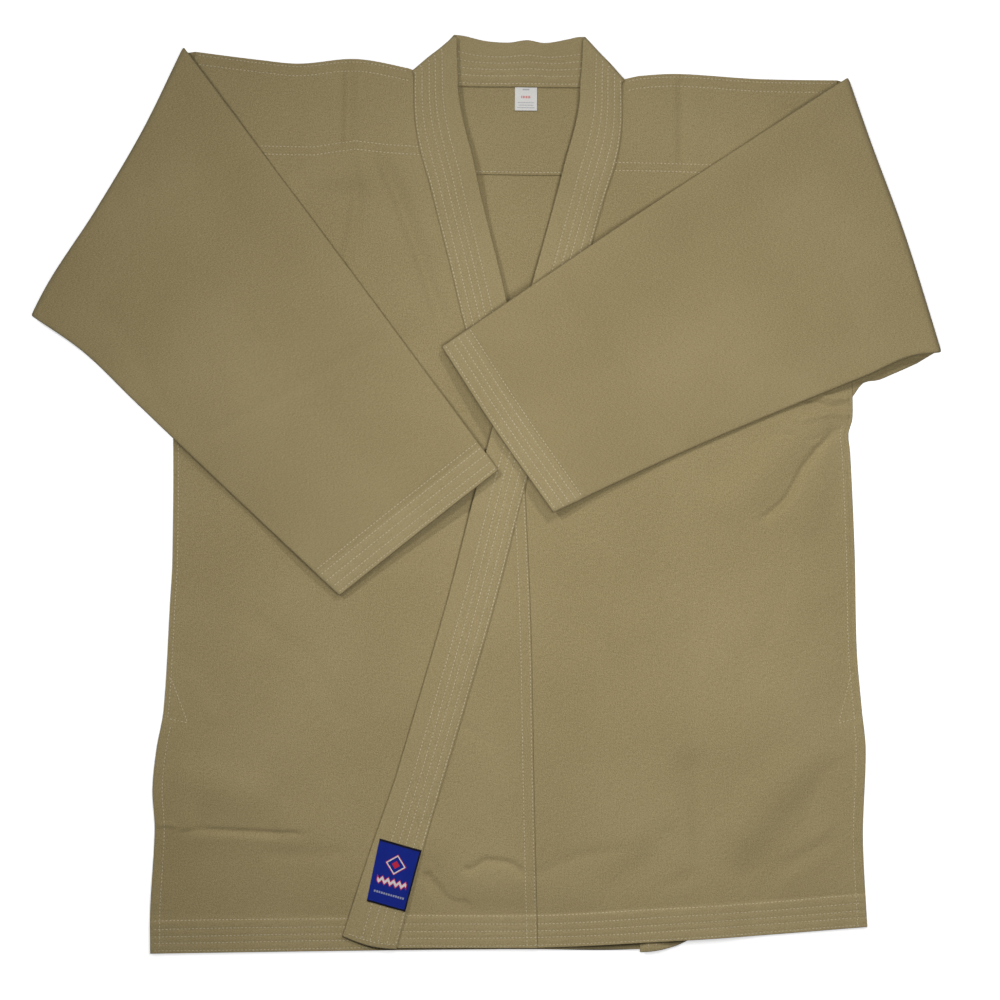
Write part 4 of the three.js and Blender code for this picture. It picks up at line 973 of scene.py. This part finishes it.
def sleeve_piece(name, shape, creases, cuff_rows):
    fold, armhole, stub_lower = route(shape["fold"]), route(shape["armhole"]), route(shape["stub_lower"])
    plan = patch(fold, route(shape["cuff"]), route(shape["upper"]), route(shape["lower"]))
    outward = np.sign(shape["fold"][0][0])
    turn = (FOLD_LIFT + SLEEVE_HALF - STUB_HALF) / 2

    def length(v):
        return abs(plan(1.0, v) - plan(0.0, v))

    def inset(v):
        return (turn + SLEEVE_HALF) / length(v)

    mean_length = float(length(0.5))

    def relief_on(p, v, u):
        near_edge = np.minimum(v, 1 - v) * SLEEVE_WIDE
        past_fold = ease(0.03, 0.16, u)
        over_cuff = 1 - 0.85 * ease(mean_length * (1 - u), mean_length * (1 - u) + 6, CUFF_HEM)
        soft = pressed(creases, p.real, p.imag) + 0.8 * drift(p.real + 90, 0.9 * p.imag + 40)
        puff = 1.2 * ease(0, 90, near_edge) * ease(0.1, 0.4, u) * (1 - ease(0.7, 1.0, u))
        return np.maximum(-0.9, soft + 0.4) * ease(2, 22, near_edge) * past_fold * over_cuff + puff

    def station(kind, at):
        """The middle of the two layers, its normal, half its thickness and its hem, for any v."""
        def stub(v):
            start = armhole(v)
            flat = mix(complex(*shape["armhole"][1]), plan(inset(1.0), 1.0), at)
            bend = (stub_lower(at * STUB_REACH) - flat) * v * v
            spot = mix(start, plan(inset(v), v), at) + outward * NARROWEST * (1 - at) + bend
            return spot, 0 * v + STUB_HALF, 0 * spot, 0 * v - 1, 0 * v + STUB_HALF, 0.0, 0 * v

        def turned(v):
            angle = np.pi * at
            axis = plan(inset(v), v)
            out = plan(0.0, v) - axis
            out = out / abs(out)
            half = mix(STUB_HALF, SLEEVE_HALF, ease(0, 1, at))
            return (axis + out * turn * np.sin(angle), 0 * v + STUB_HALF + turn * (1 - np.cos(angle)),
                    out * np.sin(angle), 0 * v - np.cos(angle), 0 * v + half, 0.0, 0 * v)

        def laid(v):
            spot = plan(at, v)
            from_cuff = length(v) * (1 - at)
            hem = HEM_EXTRA * (1 - ease(CUFF_HEM - HEM_STEP, CUFF_HEM, from_cuff))
            groove = quilt(from_cuff, cuff_rows, 0.34, 0.95)
            ripple = 0.14 * np.sin(v * 105 + np.sin(v * 13)) * (1 - ease(26, 31, from_cuff))
            droop = 2.3 * ease(0.72, 1, v) * ease(0.1, 0.25, at) * (1 - ease(0.66, 0.92, at))
            return (spot, sleeve_lift(spot.real, spot.imag) + SLEEVE_HALF - droop, 0 * spot, 0 * v + 1,
                    0 * v + SLEEVE_HALF, hem, relief_on(spot, v, at) + groove + ripple)

        return {"stub": stub, "turned": turned, "laid": laid}[kind]

    stations = [station("stub", at) for at in np.linspace(0, 0.86, STUB_STEPS)]
    stations += [station("turned", k / FOLD_STEPS) for k in range(FOLD_STEPS + 1)]
    first = 0.05
    laid_at = mix(first, 1.0, spread(mean_length * (1 - first), 3.4, 1.0, [
        (mean_length * (1 - first) - 34, mean_length)]))[3:-3]
    stations += [station("laid", at) for at in (*laid_at, 1.0)]

    upper_v = np.array([0, 0.0013, 0.004, 0.01, 0.02, *np.linspace(0.03, 0.97, 86),
                        0.98, 0.99, 0.996, 0.9987, 1])
    lower_v = np.array([0.9987, 0.996, 0.98, *np.linspace(0.9, 0.1, 22), 0.02, 0.004, 0.0013])
    full_of = reader([(0, 0), (0.0013, 0.45), (0.004, 0.7), (0.01, 0.86), (0.02, 0.94), (0.12, 1), (0.88, 1),
                      (0.98, 0.94), (0.99, 0.86), (0.996, 0.7), (0.9987, 0.45), (1, 0)])
    v = np.concatenate([upper_v, lower_v, [0.0]])
    side = np.concatenate([np.ones(len(upper_v)), -np.ones(len(lower_v)), [1.0]])
    full = full_of(v)

    def ring(stop, inner):
        ends = [stop(np.array(end))[0] for end in (0.0, 1.0)]
        margin = CLOTH / abs(ends[1] - ends[0]) if inner else 0.0
        spot, z, normal_flat, normal_up, half, hem, rise = stop(mix(margin, 1 - margin, v))
        if inner:
            half = half - CLOTH - hem * full
        offset = half * full * side
        lift = np.where(side > 0, rise, 0.0) * full
        return raised(spot + normal_flat * offset, z + normal_up * offset + lift)

    outer = [ring(stop, False) for stop in stations]
    turned_from = STUB_STEPS + FOLD_STEPS + 1  # stations up to here bend; the inside follows each of them
    behind = [*range(len(stations) - LINED, turned_from, -6), *range(turned_from, -1, -1)]
    inner = [ring(stop, True) for stop in (*stations[:-LINED - 1:-1], *(stations[i] for i in behind))]
    lip = (outer[-1] + inner[0]) / 2
    onward = (outer[-1] - outer[-2])[:, :2]
    lip[:, :2] += onward / np.linalg.norm(onward, axis=1)[:, None] * LIP_OUT
    rows = np.array([*outer, lip, *inner, outer[0]])
    mesh, column, row = grid_mesh(name, len(v) - 1, len(rows) - 1)
    around = np.where(side > 0, v, 2 - v) * SLEEVE_WIDE
    middle = rows[:, 40]
    along = np.concatenate([[0], np.cumsum(np.linalg.norm(np.diff(middle, axis=0), axis=1))])
    around[-1] = 2 * SLEEVE_WIDE
    cloth_mm = np.stack([around[column], along[row]], -1)
    cuff, hem_deep = float(along[len(outer)]) * MM, CUFF_HEM * MM
    at_top, at_bottom = (float(length(end)) / mean_length for end in (0.0, 1.0))

    def worn(x, y):
        to_bottom = 1.0 - abs(x / (SLEEVE_WIDE * MM) - 1.0)
        return (abs(y - cuff) * (to_bottom * (at_bottom - at_top) + at_top) < hem_deep) * 0.17

    finish = canvas(name.replace("sleeve", "canvas_sleeve"), worn)
    piece = settle(mesh, rows[row, column], cloth_mm, finish)

    paths = []
    for inset_row in cuff_rows:
        walk_v = np.linspace(0.006, 0.994, 160)
        at = 1 - inset_row / length(walk_v)
        spot, z, _, _, half, hem, rise = station("laid", at)(walk_v)
        paths.append(raised(spot, z + (half + rise) * full_of(walk_v)))
    return piece, paths


sleeve_right, paths_sleeve_right = sleeve_piece(
    "sleeve_right_cloth", SLEEVE_RIGHT, SLEEVE_CREASES_RIGHT, [2.2, 9.4, 17.2, 24.7, 30.7])
sleeve_left, paths_sleeve_left = sleeve_piece(
    "sleeve_left_cloth", SLEEVE_LEFT, SLEEVE_CREASES_LEFT, [2.6, 10.2, 16.5, 23.2, 29.1])
sew("stitches_sleeve_right", paths_sleeve_right)
sew("stitches_sleeve_left", paths_sleeve_left)

# %% [markdown]
# ## The woven patch and the size tag
# A dense blue patch with a dark border is sewn near the end of the upper lapel, and a small white tape
# hangs from the neck seam. Both carry only plain marks here: a diamond, a zigzag, dashes. The marks are woven
# in, so they are masks on the patch's own measures, with fine ribs for the threads.

# %% Patch material
LABEL_WIDE, LABEL_TALL, LABEL_UP, LABEL_FROM_SEAM = 37.0, 57.5, 34.5, 0.8
BLUE, NAVY, RED, WHITE = (0.004, 0.018, 0.25), (0.004, 0.004, 0.012), (0.55, 0.02, 0.05), (0.72, 0.68, 0.70)


def patch_finish():
    woven = Finish("woven_patch")
    uv, x, y = woven.cloth_measures()
    across, tall = x * 1000.0, y * 1000.0
    centre = abs(across - LABEL_WIDE / 2)
    border = ((tall > LABEL_TALL - 2.0).maths("MAXIMUM", tall < 1.6)).maths("MAXIMUM",
                                                                           across > LABEL_WIDE - 1.5)
    diamond = centre + abs(tall - 38.5)
    ring_red, ring_white, gap, heart = diamond < 9.6, diamond < 8.9, diamond < 7.5, diamond < 3.6
    zigzag = abs((across * 0.19 + 0.2).fraction() - 0.5) * 7.0
    bar = abs(tall - zigzag - 20.4)
    bar_red = (bar < 2.7) * (centre < 14.0)
    bar_white = (bar < 1.6) * (centre < 13.2)
    dash = ((across * 0.45).fraction() < 0.72) * (abs(tall - 11.0) < 0.9) * (centre < 14.5)
    colour = woven.blend(border, BLUE, NAVY)
    for mask, ink in ((ring_red, RED), (ring_white, WHITE), (gap, BLUE), (heart, RED), (bar_red, RED),
                      (bar_white, WHITE), (dash, (0.30, 0.32, 0.42))):
        colour = woven.blend(mask, colour, ink)
    ribs = (tall * (2 * np.pi / 0.45)).sine() * 0.5 + 0.5
    fuzz = woven.noise(uv, (1500, 1500), 2.0)
    colour = woven.blend((ribs * 0.12 + fuzz * 0.16).clamped(), colour, NAVY)
    return woven.surface(colour, 0.6 + fuzz * 0.3, ribs * 0.6 + fuzz * 0.4, 0.00015, Specular_IOR_Level=0.15)


PATCH_FINISH = patch_finish()

# %% Patch
LABEL_RIM = 0.5
us, vs = np.meshgrid(spread(LABEL_WIDE, 0.9, LABEL_RIM), spread(LABEL_TALL, 0.9, LABEL_RIM))
w = LABEL_FROM_SEAM + us * mix(36.0, 39.2, vs)
seam_up = LABEL_UP + vs * LABEL_TALL / ALONG
plan = lapel_left(seam_up) - w / ALONG + 1j * (seam_up + w * LEAN / ALONG)
share = (lapel_left(plan.imag) - plan.real) / (BAND_WIDTH * ALONG + flare_left(plan.imag))
w_here = share * BAND_WIDTH
label_base = lapel_base(upper_front, plan.real, plan.imag, w_here) + band_thick(w_here) + 0.1
in_border = np.maximum(ease(LABEL_TALL - 2.4, LABEL_TALL - 1.8, vs * LABEL_TALL),
                       1 - ease(1.4, 2.0, vs * LABEL_TALL))
sewn_down = 0.14 * np.sin(us * 21) * np.sin(vs * 17 + 1)
label_over = label_base + GAP + 0.55 + 0.25 * in_border + sewn_down
label = shell("label_cloth", raised(plan, label_over), raised(plan, label_base + 0.05),
              np.stack([LABEL_WIDE - us * LABEL_WIDE, vs * LABEL_TALL], -1), LABEL_RIM, PATCH_FINISH)

# %% Size tag
TAG_X, TAG_WIDE, TAG_TALL = 13.5, 20.0, 21.0


def tag_finish():
    tape = Finish("white_tape")
    uv, x, y = tape.cloth_measures()
    across, tall = x * 1000.0, y * 1000.0
    centre = abs(across - TAG_WIDE / 2)
    grey = (abs(tall - 19.0) < 0.7) * (centre < 3.0)
    for height, half in ((7.2, 7.4), (4.9, 6.6), (2.6, 7.8)):
        grey = grey.maths("MAXIMUM", (abs(tall - height) < 0.42) * (centre < half)
                          * ((across * 0.7 + height).fraction() < 0.8))
    red = (abs(tall - 12.2) < 1.1) * (centre < 4.4) * ((across * 0.42).fraction() < 0.78)
    weave = (across * (2 * np.pi / 0.4)).sine() * (tall * (2 * np.pi / 0.4)).sine() * 0.5 + 0.5
    fuzz = tape.noise(uv, (900, 900))
    colour = tape.blend(fuzz, (0.60, 0.59, 0.56), (0.74, 0.73, 0.71))
    colour = tape.blend(grey * 0.55, colour, (0.16, 0.17, 0.22))
    colour = tape.blend(red * 0.75, colour, (0.55, 0.10, 0.09))
    return tape.surface(colour, 0.5 + fuzz * 0.25, weave * 0.7 + fuzz * 0.3, 0.0001, Sheen_Weight=0.05)


us, vs = np.meshgrid(spread(TAG_WIDE, 1.2, 0.4), spread(TAG_TALL, 1.2, 0.4))
x = TAG_X + (us - 0.5) * TAG_WIDE
plan = x + 1j * (neckline(x) - GAP - (1 - vs) * TAG_TALL)
curl = 0.5 * (1 - vs) ** 2 + 0.25 * (2 * us - 1) ** 2 * (1 - vs)
tag_low = 2 * CLOTH + 2 * GAP + 0 * x
tag = shell("tag_tape", raised(plan, tag_low + 0.45 + curl), raised(plan, tag_low + curl),
            np.stack([us * TAG_WIDE, vs * TAG_TALL], -1), 0.4, tag_finish())

# %% [markdown]
# ## The cloth's pieces and their solids
# Every piece rides on the part's one body and stands for a solid of the frame. A table lists for each sheet
# the size that it was cut to, how it is held and what it rests on. The sizes are the finished panels
# with 12 mm of seam allowance and their hems.

# %% Rides and replaced solids, from a table that also lists slots and sheet sizes
# Where a cut is far from filling its rectangle: a wedge is a tall triangle, and a sleeve tapers
# piece, solid, slot, flat size in metres, how held, what it rests on, its stitches
CLOTHS = [
    (back, "back", "canvas", (0.65, 0.85), "laid", [], ["stitches_back"]),
    (yoke, "back_yoke", "canvas", (0.46, 0.11), "laid", ["back_cloth"], ["stitches_yoke"]),
    (front_right, "front_right", "canvas", (0.35, 0.85), "laid", ["back_cloth", "yoke_cloth"],
     ["stitches_front_right"]),
    (overlap_right, "overlap_right", "canvas", (0.13, 0.46), "laid", ["back_cloth"], []),
    (front_left, "front_left", "canvas", (0.33, 0.84), "laid",
     ["front_right_cloth", "lapel_right_band", "back_cloth"], ["stitches_front_left"]),
    (overlap_left, "overlap_left", "canvas", (0.13, 0.46), "laid",
     ["front_right_cloth", "lapel_right_band"], ["stitches_overlap"]),
    (lapel_right_band, "lapel_right", "canvas", (0.045, 0.87), "folded", ["front_right_cloth"],
     ["stitches_lapel_right"]),
    (lapel_left_band, "lapel_left", "canvas", (0.045, 0.85), "folded", ["front_left_cloth"],
     ["stitches_lapel_left"]),
    (collar_band, "collar_back", "canvas", (0.17, 0.045), "laid", ["back_cloth"], ["stitches_collar"]),
    (sleeve_right, "sleeve_right", "canvas", (0.66, 0.62), "folded", ["front_right_cloth"],
     ["stitches_sleeve_right"]),
    (sleeve_left, "sleeve_left", "canvas", (0.66, 0.62), "folded",
     ["front_left_cloth", "lapel_left_band"], ["stitches_sleeve_left"]),
    (label, "label_patch", "woven_patch", (0.037, 0.057), "laid", ["lapel_left_band"], []),
    (tag, "size_tag", "white_tape", (0.02, 0.021), "hung", ["collar_band", "yoke_cloth"], []),
]
for piece, node, slot, flat, held, rests_on, sewn in CLOTHS:
    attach(piece, "root")
    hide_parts(node)
    low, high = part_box(node)
    corners = np.array([v.co for v in piece.data.vertices])
    apart = [round(1000 * float(d), 1) for d in (*(corners.min(0) - low), *(corners.max(0) - high))]
    print(f"{piece.name} against its solid, mm:", apart)

# %% [markdown]
# ## Floor, light and camera
# The photograph is a cut-out on white, lit from the collar's side by a soft lamp on each hand, and
# brightest right of the middle, where a small lamp hangs above. A pale floor that glows a little keeps
# the ground near white, like a light table. A long lens far above sees the flat garment almost
# without perspective.

# %% Floor
bm = bmesh.new()
bmesh.ops.create_grid(bm, x_segments=1, y_segments=1, size=15, matrix=Matrix.Translation((0, 0, -0.0004)))
floor_mesh = bpy.data.meshes.new("floor")
bm.to_mesh(floor_mesh)
bm.free()
floor = bpy.data.objects.new("floor", floor_mesh)
bpy.context.scene.collection.objects.link(floor)
paper = Finish("pale_paper")
grain = paper.node("ShaderNodeTexNoise", None, {"Scale": 300.0})
pale = paper.blend(grain * 0.05, (0.92, 0.92, 0.92), (0.80, 0.80, 0.80))
floor_mesh.materials.append(paper.surface(pale, 0.8, grain, 0.00002, Emission_Strength=0.62,
                                          Emission_Color=(1, 1, 1, 1)))
floor.visible_diffuse = False  # its glow is for the eye alone, and doesn't brighten the cloth's edges

# %% Lights and world
def hang(name, kind, place, aim, watts, **settings):
    lamp = bpy.data.lights.new(name, kind)
    lamp.energy = watts
    for key, value in settings.items():
        setattr(lamp, key, value)
    holder = bpy.data.objects.new(name, lamp)
    holder.location = place
    holder.rotation_euler = (Vector(aim) - Vector(place)).to_track_quat("-Z", "Y").to_euler()
    holder.visible_camera = False
    bpy.context.scene.collection.objects.link(holder)


hang("ceiling", "AREA", (0.13, -0.04, 0.87), (0.13, -0.04, 0), 4.35, shape="SQUARE", size=0.4)
for name, place, aim, watts in (("key_right", (1.66, 3.16, 3.6), (0.14, -0.10, 0), 320.0),
                                ("key_left", (-2.64, 2.31, 3.6), (0.12, 0.0, 0), 380.0)):
    hang(name, "SPOT", place, aim, watts, spot_size=float(np.radians(19)), spot_blend=1.0,
         shadow_soft_size=0.28)
world = bpy.data.worlds.new("studio")
world.use_nodes = True
world.node_tree.nodes["Background"].inputs["Color"].default_value = (1, 1, 1, 1)
world.node_tree.nodes["Background"].inputs["Strength"].default_value = 0.10
bpy.context.scene.world = world
bpy.context.scene.view_settings.view_transform = "Standard"

# %% Camera
VIEW_WIDE, LENS, SENSOR = 0.9, 180.0, 36.0
camera = bpy.data.cameras.new("camera")
camera.lens, camera.sensor_width, camera.clip_end = LENS, SENSOR, 100.0
eye = bpy.data.objects.new("camera", camera)
middle_of_photo = np.array([-9.9, 405.0]) + PATTERN_TO_FRAME
eye.location = (*(middle_of_photo * MM), VIEW_WIDE * LENS / SENSOR + 0.006)
bpy.context.scene.collection.objects.link(eye)
bpy.context.scene.camera = eye
